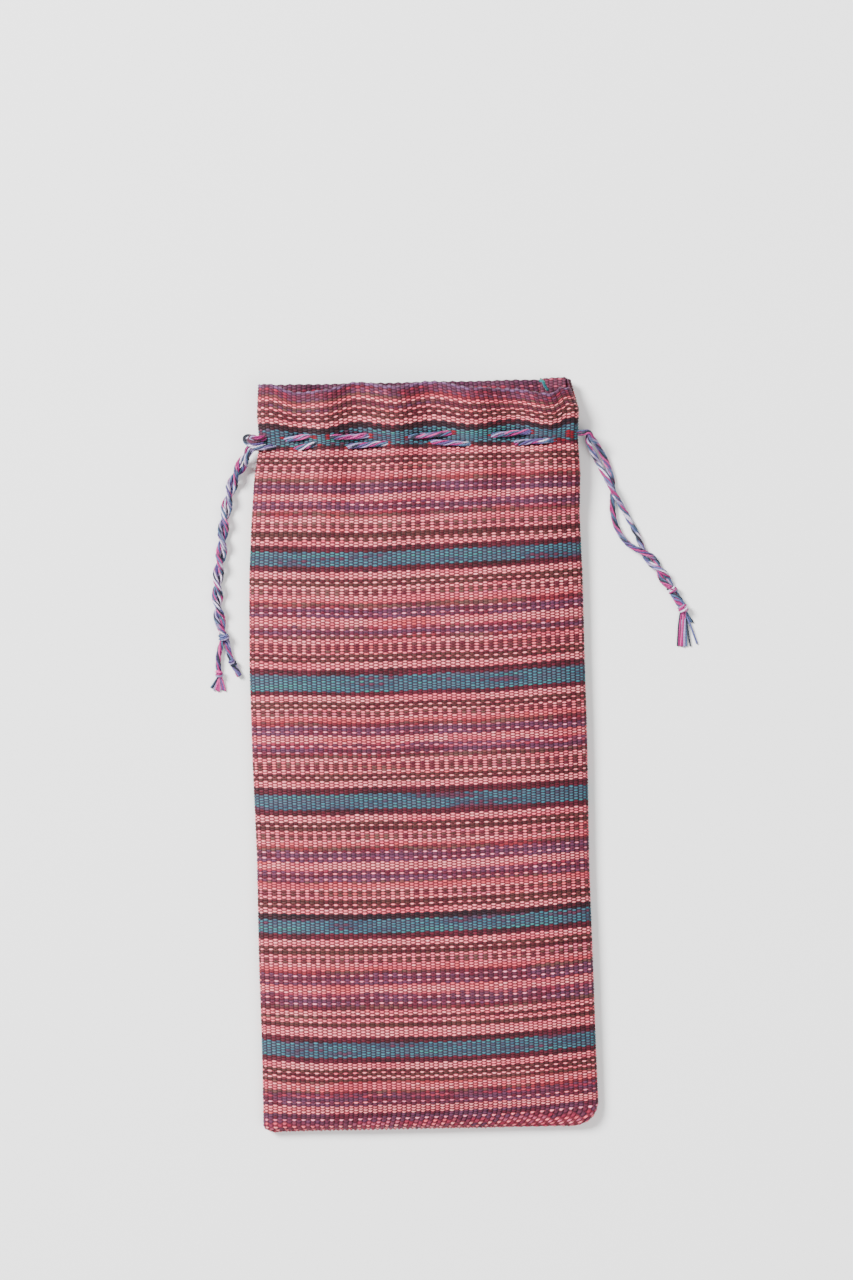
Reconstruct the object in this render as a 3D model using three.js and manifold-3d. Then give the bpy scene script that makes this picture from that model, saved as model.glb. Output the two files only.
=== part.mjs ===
// A drawstring pouch of striped rib-weave cotton, empty and lying on its back, its mouth a little open.
// Millimetres. X runs across the pouch, Y along it towards the mouth, and Z up from the surface.
// The origin is on that surface, under the middle of the cloth bag.

import * as THREE from "three";
import { mergeVertices } from "three/addons/utils/BufferGeometryUtils.js";
import Module from "manifold-3d";

const wasm = await Module();
wasm.setup();

// Cloth bag
const CLOTH = 1.2; // wall thickness
const MOUTH_Y = 112.75; // edge of the back wall at the open end
const BOTTOM_Y = -112.75; // closed end
const LEFT_CORNER = 2.5; // radii of the closed end's corners, seen from above
const RIGHT_CORNER = 7.5;
const CROWN_POWER = 4; // how squarely the front wall rises from its side edges
const GATHER = 0.7; // height of the waves that the drawstrings draw into each wall
const WAVE_POWER = 12; // how quickly those waves die out at the side edges
const DIP_START_Y = 82; // the front wall's rows sag between the gathers from here to the mouth
const ACROSS = 25; // facets across each wall
const ROUND = 4; // facets round each side edge

// Sections across the bag, from the closed end to the mouth: how far each side edge is from the
// centre line, how thick that edge is, how high the front wall stands, how far the back wall is
// lifted, and the share of the gathers there.
const SECTIONS = [
  { y: -112.75, left: 50.1, right: 51.4, edge: 4.0, top: 4.0, lift: 0, gather: 0 },
  { y: -104.0, left: 50.1, right: 51.4, edge: 4.2, top: 7.0, lift: 0, gather: 0 },
  { y: -90.0, left: 50.1, right: 51.0, edge: 4.4, top: 8.7, lift: 0, gather: 0 },
  { y: -60.0, left: 50.3, right: 50.5, edge: 4.5, top: 9.4, lift: 0, gather: 0 },
  { y: -30.0, left: 50.3, right: 50.2, edge: 4.5, top: 9.5, lift: 0, gather: 0 },
  { y: 0.0, left: 51.1, right: 50.3, edge: 4.5, top: 9.5, lift: 0, gather: 0 },
  { y: 28.0, left: 51.4, right: 50.0, edge: 4.5, top: 9.5, lift: 0, gather: 0 },
  { y: 54.0, left: 50.9, right: 49.9, edge: 4.7, top: 9.5, lift: 0, gather: 0 },
  { y: 72.0, left: 49.8, right: 49.4, edge: 5.0, top: 9.6, lift: 0.3, gather: 0.2 },
  { y: 84.0, left: 48.7, right: 49.0, edge: 5.6, top: 9.9, lift: 0.95, gather: 0.65 },
  { y: 95.0, left: 47.3, right: 48.4, edge: 6.2, top: 10.2, lift: 1.5, gather: 1.0 },
  { y: 104.0, left: 47.4, right: 48.6, edge: 6.4, top: 10.5, lift: 1.3, gather: 1.1 },
  { y: 112.75, left: 47.0, right: 47.4, edge: 6.6, top: 10.8, lift: 0.95, gather: 1.25 },
];

// Rows of facets along the bag, before the closed end rounds over
const ROWS_Y = [
  112.75, 109, 105, 101, 97.5, 94, 90, 85, 79, 70, 54, 28, -5, -45, -82, -98, -106,
];
const CLOSING_DEGREES = [0, 40, 90];

// Gathers across each wall, from left to right: how far the cloth stands out or in, and how far the
// front wall's edge sags towards the closed end.
const FOLDS = [
  { x: -44.5, out: 0, sag: 0 },
  { x: -34.5, out: -1, sag: 1.5 },
  { x: -27.5, out: 1, sag: 2.0 },
  { x: -17.0, out: -1, sag: 0.4 },
  { x: -5.5, out: 1, sag: 1.8 },
  { x: 5.0, out: -1, sag: 0.8 },
  { x: 18.0, out: 1, sag: 2.7 },
  { x: 29.5, out: -1, sag: 2.4 },
  { x: 41.0, out: 0.9, sag: 4.8 },
  { x: 47.0, out: 0, sag: 0 },
];

// Seam allowance that shows inside the mouth's right end
const SEAM_X = 42.4;
const SEAM_WIDTH = 4.0;
const SEAM_LENGTH = 13.6;
const SEAM_END_Y = 112.9;

// Drawstrings
const CORD = 1.6; // diameter
const CORD_SIDES = 8;
const KNOT_SIDES = 10;
const GAP = 0.3; // clearance between pieces that touch
const CORD_CLEAR = CLOTH / 2 + CORD / 2 + 0.4; // from the middle of a wall to a cord that lies on it
const TAIL_POINTS = 2; // points along a free end for each row of its table
const PASS = 2.2; // half the length in which a cord passes through a wall
const LONG_STITCH = 4 * PASS; // a stitch longer than this has a point at its middle
const SLOT_LENGTH = 2 * PASS + 0.4; // a hole in the cloth where a cord passes through
const SLOT_WIDTH = CORD + 2 * GAP;
const SLOT_DEPTH = 3.2;
const LEAD = 1.0; // length that an end runs straight on before it starts to fall

// Each drawstring is threaded through the front wall and back through the back wall, and both of its
// ends leave at the same side. The stitches are the stretches where it lies on the outside.
const LEFT_ROW_Y = 93.8;
const LEFT_STITCHES = [
  { from: -35.7, to: -29.7 },
  { from: -20.1, to: -8.4 },
  { from: 5.6, to: 16.1 },
  { from: 30.6, to: 41.0 },
];
const RIGHT_ROW_Y = 96.4;
const RIGHT_STITCHES = [
  { from: -38.6, to: -31.6 },
  { from: -24.8, to: -14.0 },
  { from: -1.4, to: 10.3 },
  { from: 23.2, to: 34.6 },
];
const BACK_STITCHES = [
  { from: -38.4, to: -31.6 },
  { from: -21.2, to: -12.8 },
  { from: 0.8, to: 9.2 },
  { from: 25.3, to: 33.7 },
];
const LEFT_LAST_PASS_X = -42.4; // where the left drawstring comes out over the bag's left edge
const OVER_EDGE_DEGREES = [35, 62, 90]; // its way over the round of that edge, from where it leaves it
const TURN_X = 43.4; // where a drawstring turns from the front wall to the back, inside the bag
const EXIT_RUN = 1.8; // length that stands out of the side hole
const LEFT_HOLE_Z = 3.8;
const RIGHT_HOLE_FRONT_Z = 5.6;
const RIGHT_HOLE_BACK_Z = 3.4;
const SIDE_SLOT_LENGTH = 7.0; // a side hole, most of it inside the side edge
const SIDE_SLOT_INSET = 1.0;
const FLOOR_CLEAR = 0.05; // under a cord that lies on the surface

// The two ends of a drawstring lie together on the surface. Each row gives a point midway between
// them, how far that point is lifted off the surface, how far each end lies from it, and the turns
// that the two have made round each other.
const LEFT_TAIL = [
  { x: -50.8, y: 91.6, lift: 2.2, spread: 1.1, turn: 0.3 },
  { x: -52.6, y: 88.7, lift: 1.0, spread: 1.0, turn: 0.52 },
  { x: -54.3, y: 85.9, lift: 0.3, spread: 0.95, turn: 0.78 },
  { x: -55.7, y: 82.6, lift: 0, spread: 0.95, turn: 1.04 },
  { x: -56.9, y: 78.0, lift: 0, spread: 0.95, turn: 1.38 },
  { x: -57.8, y: 73.4, lift: 0, spread: 0.95, turn: 1.72 },
  { x: -58.5, y: 69.4, lift: 0, spread: 0.95, turn: 2.02 },
  { x: -58.9, y: 65.4, lift: 0, spread: 0.95, turn: 2.32 },
  { x: -59.4, y: 60.8, lift: 0, spread: 0.95, turn: 2.66 },
  { x: -60.2, y: 56.3, lift: 0, spread: 0.95, turn: 3.0 },
  { x: -60.6, y: 51.7, lift: 0, spread: 0.95, turn: 3.34 },
  { x: -60.6, y: 47.7, lift: 0, spread: 0.95, turn: 3.64 },
  { x: -60.2, y: 43.1, lift: 0, spread: 0.95, turn: 3.98 },
  { x: -59.4, y: 38.9, lift: 0, spread: 0.95, turn: 4.25 },
];
const RIGHT_TAIL = [
  { x: 52.9, y: 94.2, lift: 2.4, spread: 1.1, turn: 0.36 },
  { x: 55.0, y: 90.6, lift: 1.0, spread: 1.2, turn: 0.48 },
  { x: 57.1, y: 86.3, lift: 0.2, spread: 1.15, turn: 0.54 },
  { x: 58.7, y: 82.2, lift: 0, spread: 1.0, turn: 0.62 },
  { x: 59.6, y: 78.6, lift: 0, spread: 0.95, turn: 0.75 },
  { x: 60.4, y: 75.0, lift: 0, spread: 1.3, turn: 0.92 },
  { x: 61.6, y: 71.0, lift: 0, spread: 2.0, turn: 1.0 },
  { x: 63.2, y: 67.4, lift: 0, spread: 2.3, turn: 1.0 },
  { x: 65.1, y: 64.2, lift: 0, spread: 2.0, turn: 1.02 },
  { x: 66.9, y: 61.8, lift: 0, spread: 1.3, turn: 1.1 },
  { x: 68.9, y: 59.6, lift: 0, spread: 0.95, turn: 1.28 },
  { x: 71.0, y: 57.4, lift: 0, spread: 0.95, turn: 1.5 },
  { x: 73.2, y: 54.5, lift: 0, spread: 0.95, turn: 1.78 },
  { x: 75.0, y: 51.6, lift: 0, spread: 0.95, turn: 2.03 },
  { x: 75.7, y: 50.5, lift: 0, spread: 0.95, turn: 2.12 },
];

// Knots on the cords: place, heading along the cord in degrees from +X, radius and half length
const KNOTS = [
  { name: "left_knot", x: -58.9, y: 37.0, heading: -80, radius: 1.9, half: 1.2 },
  { name: "left_end_knot_outer", x: -60.6, y: 25.9, heading: -95, radius: 1.35, half: 1.1 },
  { name: "left_end_knot_inner", x: -56.4, y: 29.2, heading: -65, radius: 1.3, half: 1.0 },
  { name: "right_knot_upper", x: 76.9, y: 48.6, heading: -59, radius: 1.75, half: 1.2 },
  { name: "right_knot_lower", x: 80.0, y: 42.9, heading: -65, radius: 1.9, half: 1.2 },
];

// Short single cords past the knots: diameter and the points along each, on the surface
const SHORT_CORDS = [
  {
    name: "left_end_outer",
    diameter: 1.6,
    points: [[-59.7, 35.2], [-60.3, 33.2], [-60.8, 30.2], [-60.7, 27.4]],
  },
  {
    name: "left_end_inner",
    diameter: 1.6,
    points: [[-57.9, 35.2], [-57.7, 33.6], [-57.3, 31.8], [-56.95, 30.6]],
  },
  {
    name: "left_stub",
    diameter: 1.6,
    points: [[-55.85, 27.9], [-55.3, 26.9], [-54.4, 25.2]],
  },
  {
    name: "right_neck",
    diameter: 2.6,
    points: [[77.7, 47.2], [78.3, 46.0], [79.3, 44.4]],
  },
];

// Tassels: the head's place and radius, and its locks with their tips and thicknesses
const TASSELS = [
  {
    name: "left_tassel",
    head: { x: -60.7, y: 23.5, radius: 0.9 },
    locks: [
      { x: -63.2, y: 21.4, root: 0.5, tip: 0.35 },
      { x: -61.9, y: 20.9, root: 0.55, tip: 0.4 },
      { x: -60.7, y: 20.8, root: 0.6, tip: 0.45 },
      { x: -59.2, y: 20.9, root: 0.55, tip: 0.4 },
    ],
  },
  {
    name: "right_tassel",
    head: { x: 80.9, y: 40.2, radius: 1.1 },
    locks: [
      { x: 79.0, y: 36.6, root: 0.4, tip: 0.3 },
      { x: 79.3, y: 31.4, root: 0.75, tip: 0.6 },
      { x: 80.5, y: 31.2, root: 0.6, tip: 0.45 },
      { x: 82.1, y: 31.2, root: 0.45, tip: 0.35 },
      { x: 84.2, y: 31.8, root: 0.4, tip: 0.3 },
      { x: 82.3, y: 38.4, root: 0.6, tip: 0.55 },
    ],
  },
];

const LOCK_START = 0.9; // height of a lock's start in the head, as a share of the head's radius
const LOCK_SIDES = 6;

const CLOTH_FINISH = new THREE.MeshStandardMaterial({ color: 0x96505a, roughness: 0.9, metalness: 0 });
const CORD_FINISH = new THREE.MeshStandardMaterial({ color: 0x9a7fae, roughness: 0.85, metalness: 0 });

// The rows either side of a value, and how far the value lies from one to the other
function between(rows, key, at) {
  const above = rows.findIndex((row) => row[key] > at);
  const next = above < 0 ? rows.length - 1 : Math.max(above, 1);
  const share = (at - rows[next - 1][key]) / (rows[next][key] - rows[next - 1][key]);
  return { next, share: THREE.MathUtils.clamp(share, 0, 1) };
}

// A column of the gathers at x, in even waves
function foldAt(x, column) {
  const { next, share } = between(FOLDS, "x", x);
  const ease = (1 - Math.cos(Math.PI * share)) / 2;
  return THREE.MathUtils.lerp(FOLDS[next - 1][column], FOLDS[next][column], ease);
}

// The section across the bag at y
function sectionAt(y) {
  const { next, share } = between(SECTIONS, "y", y);
  const section = {};
  for (const column of ["left", "right", "edge", "top", "lift", "gather"]) {
    section[column] = THREE.MathUtils.lerp(SECTIONS[next - 1][column], SECTIONS[next][column], share);
  }
  return section;
}

// Heights of the outer faces of the front and back walls
function wallsAt(x, y) {
  const section = sectionAt(y);
  const half = (section.left + section.right - section.edge) / 2;
  const middle = (section.right - section.left) / 2;
  const across = THREE.MathUtils.clamp((x - middle) / half, -1, 1);
  const side = section.lift + section.edge;
  const wave = section.gather * GATHER * foldAt(x, "out") * (1 - across ** WAVE_POWER);
  const crown = (section.top - side) * (1 - Math.abs(across) ** CROWN_POWER);
  return { front: side + crown + wave, back: section.lift - wave };
}

// How far a corner's arc stands in from the side edge, at a height above the closed end
function cornerInset(radius, height) {
  const drop = Math.max(radius - height, 0);
  return radius - Math.sqrt(Math.max(radius * radius - drop * drop, 0));
}

// One closed loop of points across the bag: the front wall, the right edge, the back wall and the left
// edge. depth is 0 on the outer face and the cloth's thickness on the inner face, and closing is the
// angle round the closed end.
function loopAt(rowY, closing, depth) {
  const section = sectionAt(rowY);
  const edge = section.edge / 2;
  const y = rowY - (edge - depth) * Math.sin(closing);
  const round = (edge - depth) * Math.cos(closing);
  const height = y - BOTTOM_Y - depth;
  const left = -section.left + edge + cornerInset(LEFT_CORNER - depth, height);
  const right = section.right - edge - cornerInset(RIGHT_CORNER - depth, height);
  const middleZ = section.lift + edge;
  const sagShare = THREE.MathUtils.smoothstep(y, DIP_START_Y, MOUTH_Y);
  const loop = [];
  const wallPoint = (share, isFront) => {
    const x = THREE.MathUtils.lerp(left, right, share);
    const pointY = isFront ? y - foldAt(x, "sag") * sagShare : y;
    const walls = wallsAt(x, pointY);
    const open = isFront ? walls.front - depth : walls.back + depth;
    const closed = isFront ? middleZ + round : middleZ - round;
    loop.push(new THREE.Vector3(x, pointY, closing > 0 ? closed : open));
  };
  const edgePoint = (x, angle) => {
    loop.push(new THREE.Vector3(x + round * Math.cos(angle), y, middleZ + round * Math.sin(angle)));
  };
  for (let i = 0; i <= ACROSS; i += 1) wallPoint(i / ACROSS, true);
  for (let i = 1; i < ROUND; i += 1) edgePoint(right, Math.PI * (0.5 - i / ROUND));
  for (let i = ACROSS; i >= 0; i -= 1) wallPoint(i / ACROSS, false);
  for (let i = 1; i < ROUND; i += 1) edgePoint(left, Math.PI * (1.5 - i / ROUND));
  return loop;
}

// The loops of one face of the bag, from the mouth to the closed end
function faceLoops(depth) {
  const closingY = BOTTOM_Y + sectionAt(BOTTOM_Y).edge / 2;
  const loops = ROWS_Y.map((y) => loopAt(y, 0, depth));
  for (const degrees of CLOSING_DEGREES) {
    loops.push(loopAt(closingY, THREE.MathUtils.degToRad(degrees), depth));
  }
  return loops;
}

function meshFromTriangles(points, triangles) {
  const geometry = new THREE.BufferGeometry();
  const places = triangles.flat().map((index) => points[index].toArray());
  geometry.setAttribute("position", new THREE.Float32BufferAttribute(places.flat(), 3));
  return geometry;
}

// The hollow bag, before the cords' holes are made: outer face, inner face and the mouth's rim
function bagShell() {
  const outer = faceLoops(0);
  const inner = faceLoops(CLOTH);
  const points = [...outer.flat(), ...inner.flat()];
  const around = outer[0].length;
  const innerStart = outer.length * around;
  const triangles = [];
  const quad = (a, b, c, d) => triangles.push([a, b, c], [a, c, d]);
  for (let row = 0; row < outer.length - 1; row += 1) {
    for (let i = 0; i < around; i += 1) {
      const here = row * around + i;
      const beside = row * around + ((i + 1) % around);
      quad(here, here + around, beside + around, beside);
      quad(innerStart + here, innerStart + beside, innerStart + beside + around, innerStart + here + around);
    }
  }
  for (let i = 0; i < around; i += 1) {
    const beside = (i + 1) % around;
    quad(i, beside, innerStart + beside, innerStart + i);
  }
  return meshFromTriangles(points, triangles);
}

function toSolid(geometry) {
  const bare = new THREE.BufferGeometry();
  bare.setAttribute("position", geometry.getAttribute("position").clone());
  if (geometry.index) bare.setIndex(geometry.index.clone());
  const merged = mergeVertices(bare, 1e-4);
  const corners = merged.index.array;
  const kept = [];
  for (let i = 0; i < corners.length; i += 3) {
    const [a, b, c] = corners.slice(i, i + 3);
    if (a !== b && b !== c && c !== a) kept.push(a, b, c);
  }
  const vertProperties = new Float32Array(merged.getAttribute("position").array);
  return new wasm.Manifold(new wasm.Mesh({ numProp: 3, vertProperties, triVerts: new Uint32Array(kept) }));
}

function toGeometry(solid) {
  const mesh = solid.getMesh();
  const geometry = new THREE.BufferGeometry();
  geometry.setAttribute("position", new THREE.BufferAttribute(new Float32Array(mesh.vertProperties), 3));
  geometry.setIndex(new THREE.BufferAttribute(new Uint32Array(mesh.triVerts), 1));
  return geometry;
}

// A round cord through the points, with one facet from each point to the next
function cordAlong(points, diameter) {
  const line = new THREE.CatmullRomCurve3(points, false, "centripetal");
  line.getUtoTmapping = (share) => share;
  const ring = new THREE.Shape();
  for (let i = 0; i < CORD_SIDES; i += 1) {
    const angle = (2 * Math.PI * i) / CORD_SIDES;
    const corner = new THREE.Vector2(Math.cos(angle), Math.sin(angle)).multiplyScalar(diameter / 2);
    if (i === 0) ring.moveTo(corner.x, corner.y);
    else ring.lineTo(corner.x, corner.y);
  }
  ring.closePath();
  const steps = points.length - 1;
  return new THREE.ExtrudeGeometry(ring, { steps, extrudePath: line, bevelEnabled: false });
}

// A point of a threaded cord at x on the front or back wall: side is 1 outside, -1 inside, 0 in the wall
function threadPoint(x, y, isFront, side) {
  const walls = wallsAt(x, y);
  const middle = isFront ? walls.front - CLOTH / 2 : walls.back + CLOTH / 2;
  const outward = isFront ? 1 : -1;
  return new THREE.Vector3(x, y, middle + outward * side * CORD_CLEAR);
}

// The running stitches of one wall, from left to right
function stitchPoints(stitches, y, isFront) {
  const points = [];
  for (const { from, to } of stitches) {
    points.push(threadPoint(from - PASS, y, isFront, -1));
    points.push(threadPoint(from, y, isFront, 0));
    points.push(threadPoint(from + PASS, y, isFront, 1));
    if (to - from > LONG_STITCH) points.push(threadPoint((from + to) / 2, y, isFront, 1));
    points.push(threadPoint(to - PASS, y, isFront, 1));
    points.push(threadPoint(to, y, isFront, 0));
    points.push(threadPoint(to + PASS, y, isFront, -1));
  }
  return points;
}

// The turn from the front wall to the back wall inside the bag, at one side
function turnPoints(y, direction) {
  const x = direction * TURN_X;
  const front = threadPoint(x, y, true, -1);
  const back = threadPoint(x, y, false, -1);
  const middle = front.clone().lerp(back, 0.5);
  middle.x += (direction * (front.z - back.z)) / 2;
  return [front, middle, back];
}

// A hole for a cord, square to the wall that it passes through
function slotBox(middle, sizeX, sizeZ) {
  const box = new THREE.BoxGeometry(sizeX, SLOT_WIDTH, sizeZ);
  box.translate(middle.x, middle.y, middle.z);
  return box;
}

// The holes that one row of stitches needs
function stitchSlots(stitches, y, isFront) {
  const passes = stitches.flatMap(({ from, to }) => [from, to]);
  return passes.map((x) => slotBox(threadPoint(x, y, isFront, 0), SLOT_LENGTH, SLOT_DEPTH));
}

// The holes where the ends of the drawstrings come out: over the left edge, and in each side edge
function exitSlots() {
  const overLeft = threadPoint(LEFT_LAST_PASS_X, LEFT_ROW_Y, true, 0);
  const leftX = SIDE_SLOT_INSET - sectionAt(LEFT_ROW_Y).left;
  const rightX = sectionAt(RIGHT_ROW_Y).right - SIDE_SLOT_INSET;
  const rightZ = (RIGHT_HOLE_FRONT_Z + RIGHT_HOLE_BACK_Z) / 2;
  const rightHeight = RIGHT_HOLE_FRONT_Z - RIGHT_HOLE_BACK_Z + SLOT_WIDTH;
  return [
    slotBox(overLeft, SLOT_LENGTH, SLOT_DEPTH),
    slotBox(new THREE.Vector3(leftX, LEFT_ROW_Y, LEFT_HOLE_Z), SIDE_SLOT_LENGTH, SLOT_WIDTH),
    slotBox(new THREE.Vector3(rightX, RIGHT_ROW_Y, rightZ), SIDE_SLOT_LENGTH, rightHeight),
  ];
}

// The left drawstring, from its end over the bag's left edge to its end in the left side hole
function leftThread() {
  const section = sectionAt(LEFT_ROW_Y);
  const edge = section.edge / 2;
  const round = edge - CLOTH / 2 + CORD_CLEAR;
  const centre = new THREE.Vector3(edge - section.left, LEFT_ROW_Y, section.lift + edge);
  const overEdge = OVER_EDGE_DEGREES.map((degrees) => {
    const angle = THREE.MathUtils.degToRad(degrees);
    return new THREE.Vector3(-round * Math.cos(angle), 0, round * Math.sin(angle)).add(centre);
  });
  const hole = new THREE.Vector3(-section.left, LEFT_ROW_Y, LEFT_HOLE_Z);
  return [
    ...overEdge,
    threadPoint(LEFT_LAST_PASS_X, LEFT_ROW_Y, true, 0),
    threadPoint(LEFT_LAST_PASS_X + PASS, LEFT_ROW_Y, true, -1),
    ...stitchPoints(LEFT_STITCHES, LEFT_ROW_Y, true),
    ...turnPoints(LEFT_ROW_Y, 1),
    ...stitchPoints(BACK_STITCHES, LEFT_ROW_Y, false).reverse(),
    hole.clone().add(new THREE.Vector3(2 * PASS, 0, 0)),
    hole,
    hole.clone().add(new THREE.Vector3(-EXIT_RUN, 0, 0)),
  ];
}

// The right drawstring, from one end in the right side hole to the other
function rightThread() {
  const side = sectionAt(RIGHT_ROW_Y).right;
  const exit = (z) => [EXIT_RUN, 0, -2 * PASS].map((run) => new THREE.Vector3(side + run, RIGHT_ROW_Y, z));
  return [
    ...exit(RIGHT_HOLE_FRONT_Z),
    ...stitchPoints(RIGHT_STITCHES, RIGHT_ROW_Y, true).reverse(),
    ...turnPoints(RIGHT_ROW_Y, -1),
    ...stitchPoints(BACK_STITCHES, RIGHT_ROW_Y, false),
    ...exit(RIGHT_HOLE_BACK_Z).reverse(),
  ];
}

// One end of a drawstring, turning round the other: strand is 1 for the end from the front wall and
// -1 for the end from the back wall. It starts a gap past the end of its threaded stretch.
function tailPoints(rows, strand, threadEnd, beforeEnd) {
  const outward = threadEnd.clone().sub(beforeEnd).normalize();
  const points = [GAP, GAP + LEAD].map((run) => threadEnd.clone().addScaledVector(outward, run));
  const middles = new THREE.CatmullRomCurve3(rows.map((row) => new THREE.Vector3(row.x, row.y, row.lift)));
  const pairs = new THREE.SplineCurve(rows.map((row) => new THREE.Vector2(row.spread, row.turn)));
  const count = (rows.length - 1) * TAIL_POINTS;
  for (let i = 0; i <= count; i += 1) {
    const middle = middles.getPoint(i / count);
    const heading = middles.getTangent(i / count).setZ(0).normalize();
    const pair = pairs.getPoint(i / count);
    const angle = 2 * Math.PI * pair.y;
    const aside = strand * pair.x * Math.cos(angle);
    const rise = strand * pair.x * Math.sin(angle);
    const z = CORD / 2 + FLOOR_CLEAR + middle.z + pair.x * Math.abs(Math.sin(angle)) + rise;
    points.push(new THREE.Vector3(middle.x + heading.y * aside, middle.y - heading.x * aside, z));
  }
  return points;
}

// A knot pulled tight: a barrel of two wraps, lying along the cord's heading
function knotGeometry({ x, y, heading, radius, half }) {
  const profile = [
    [0, -1], [0.65, -1], [1, -0.5], [0.9, 0], [1, 0.5], [0.65, 1], [0, 1],
  ].map(([out, along]) => new THREE.Vector2(out * radius, along * half));
  const geometry = new THREE.LatheGeometry(profile, KNOT_SIDES);
  geometry.rotateZ(THREE.MathUtils.degToRad(heading + 90));
  geometry.translate(x, y, radius);
  return geometry;
}

// A straight lock of threads from a tassel's head to its tip
function lockGeometry(from, to, root, tip) {
  const along = to.clone().sub(from);
  const geometry = new THREE.CylinderGeometry(tip, root, along.length(), LOCK_SIDES);
  const turn = new THREE.Quaternion().setFromUnitVectors(new THREE.Vector3(0, 1, 0), along.normalize());
  geometry.applyQuaternion(turn);
  const middle = from.clone().lerp(to, 0.5);
  geometry.translate(middle.x, middle.y, middle.z);
  return geometry;
}

function tasselGeometry({ head, locks }) {
  const round = new THREE.SphereGeometry(head.radius, 8, 6);
  round.translate(head.x, head.y, head.radius);
  let solid = toSolid(round);
  for (const lock of locks) {
    const from = new THREE.Vector3(head.x, head.y, Math.max(lock.root, head.radius * LOCK_START));
    const to = new THREE.Vector3(lock.x, lock.y, lock.root);
    solid = solid.add(toSolid(lockGeometry(from, to, lock.root, lock.tip)));
  }
  return toGeometry(solid);
}

// A strip of folded-in cloth that follows the inside of the back wall
function seamGeometry() {
  const strip = new THREE.BoxGeometry(SEAM_WIDTH, SEAM_LENGTH, CLOTH, 2, 4, 1);
  const place = strip.getAttribute("position");
  for (let i = 0; i < place.count; i += 1) {
    const x = place.getX(i) + SEAM_X;
    const y = place.getY(i) + SEAM_END_Y - SEAM_LENGTH / 2;
    const z = place.getZ(i) + wallsAt(x, Math.min(y, MOUTH_Y)).back + CLOTH * 1.5 + GAP;
    place.setXYZ(i, x, y, z);
  }
  return strip;
}

const group = new THREE.Group();

function addPiece(name, geometry, finish) {
  const piece = new THREE.Mesh(geometry, finish.clone());
  piece.name = name;
  group.add(piece);
}

const threads = { left: leftThread(), right: rightThread() };

// The bag, with a hole wherever a cord passes through it
const slots = [
  ...stitchSlots(LEFT_STITCHES, LEFT_ROW_Y, true),
  ...stitchSlots(RIGHT_STITCHES, RIGHT_ROW_Y, true),
  ...stitchSlots(BACK_STITCHES, LEFT_ROW_Y, false),
  ...stitchSlots(BACK_STITCHES, RIGHT_ROW_Y, false),
  ...exitSlots(),
];
const bag = slots.reduce((solid, slot) => solid.subtract(toSolid(slot)), toSolid(bagShell()));
addPiece("cloth_bag", toGeometry(bag), CLOTH_FINISH);
addPiece("seam_allowance", seamGeometry(), CLOTH_FINISH);

for (const [side, thread] of Object.entries(threads)) {
  const rows = side === "left" ? LEFT_TAIL : RIGHT_TAIL;
  const [first, second] = thread;
  const [last, beforeLast] = [thread.at(-1), thread.at(-2)];
  addPiece(`${side}_drawstring`, cordAlong(thread, CORD), CORD_FINISH);
  addPiece(`${side}_tail_front`, cordAlong(tailPoints(rows, 1, first, second), CORD), CORD_FINISH);
  addPiece(`${side}_tail_back`, cordAlong(tailPoints(rows, -1, last, beforeLast), CORD), CORD_FINISH);
}

for (const knot of KNOTS) addPiece(knot.name, knotGeometry(knot), CORD_FINISH);

for (const { name, diameter, points } of SHORT_CORDS) {
  const line = points.map(([x, y]) => new THREE.Vector3(x, y, diameter / 2));
  addPiece(name, cordAlong(line, diameter), CORD_FINISH);
}

for (const tassel of TASSELS) addPiece(tassel.name, tasselGeometry(tassel), CORD_FINISH);

export default group;
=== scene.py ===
import math

import bpy
import numpy as np
from bpy.props import FloatProperty, FloatVectorProperty, PointerProperty
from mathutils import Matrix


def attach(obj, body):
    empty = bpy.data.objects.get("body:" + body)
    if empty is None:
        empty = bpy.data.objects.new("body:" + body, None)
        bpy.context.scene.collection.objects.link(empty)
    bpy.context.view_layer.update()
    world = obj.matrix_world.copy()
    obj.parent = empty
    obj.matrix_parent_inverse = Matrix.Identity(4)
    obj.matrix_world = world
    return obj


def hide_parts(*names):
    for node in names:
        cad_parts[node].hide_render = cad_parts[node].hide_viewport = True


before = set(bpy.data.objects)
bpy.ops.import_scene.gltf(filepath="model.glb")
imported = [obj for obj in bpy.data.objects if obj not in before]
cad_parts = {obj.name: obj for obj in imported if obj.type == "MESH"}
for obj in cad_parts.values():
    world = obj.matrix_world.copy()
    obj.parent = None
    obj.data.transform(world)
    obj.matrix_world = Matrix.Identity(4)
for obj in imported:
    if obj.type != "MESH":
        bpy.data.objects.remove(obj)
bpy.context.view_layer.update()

bl_info = {
    "name": "Striped drawstring pouch",
    "version": (1, 0, 0),
    "blender": (4, 5, 0),
    "location": "3D View > Sidebar > Pouch",
    "description": "Builds a hand-woven drawstring pouch that lies on a table",
    "category": "Add Mesh",
}

MM = 0.001  # the tables below are in millimetres
SEED = 7

# Cloth bag, close to the solid model
MOUTH_Y = 112.75
BOTTOM_Y = -112.75
LEFT_CORNER = 2.5
RIGHT_CORNER = 7.5
CROWN_POWER = 4
WAVE_POWER = 12
BACK_GATHER = 0.7
FRONT_GATHER = 1.05  # the front wall is free to stand higher than the one that lies on the table
SAG_START_Y = 94.0  # the front wall's sag grows from here, past a height just above the cords, to the edge
LOW_SAG_Y = 99.5
SAG_OVERLAP = 2.0
DENT = 1.0  # how deep the cords press the front wall in
DENT_Y = 95.6
DENT_REACH = 3.2
GROOVE = 0.7  # how deep each stitch lies in the cloth
GROOVE_REACH = 1.1
CLOSING = 2.0  # radius with which the closed end rounds over
FULLY_CLOSED = math.radians(88.5)  # just short of flat, so that no two threads fall together there

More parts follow.
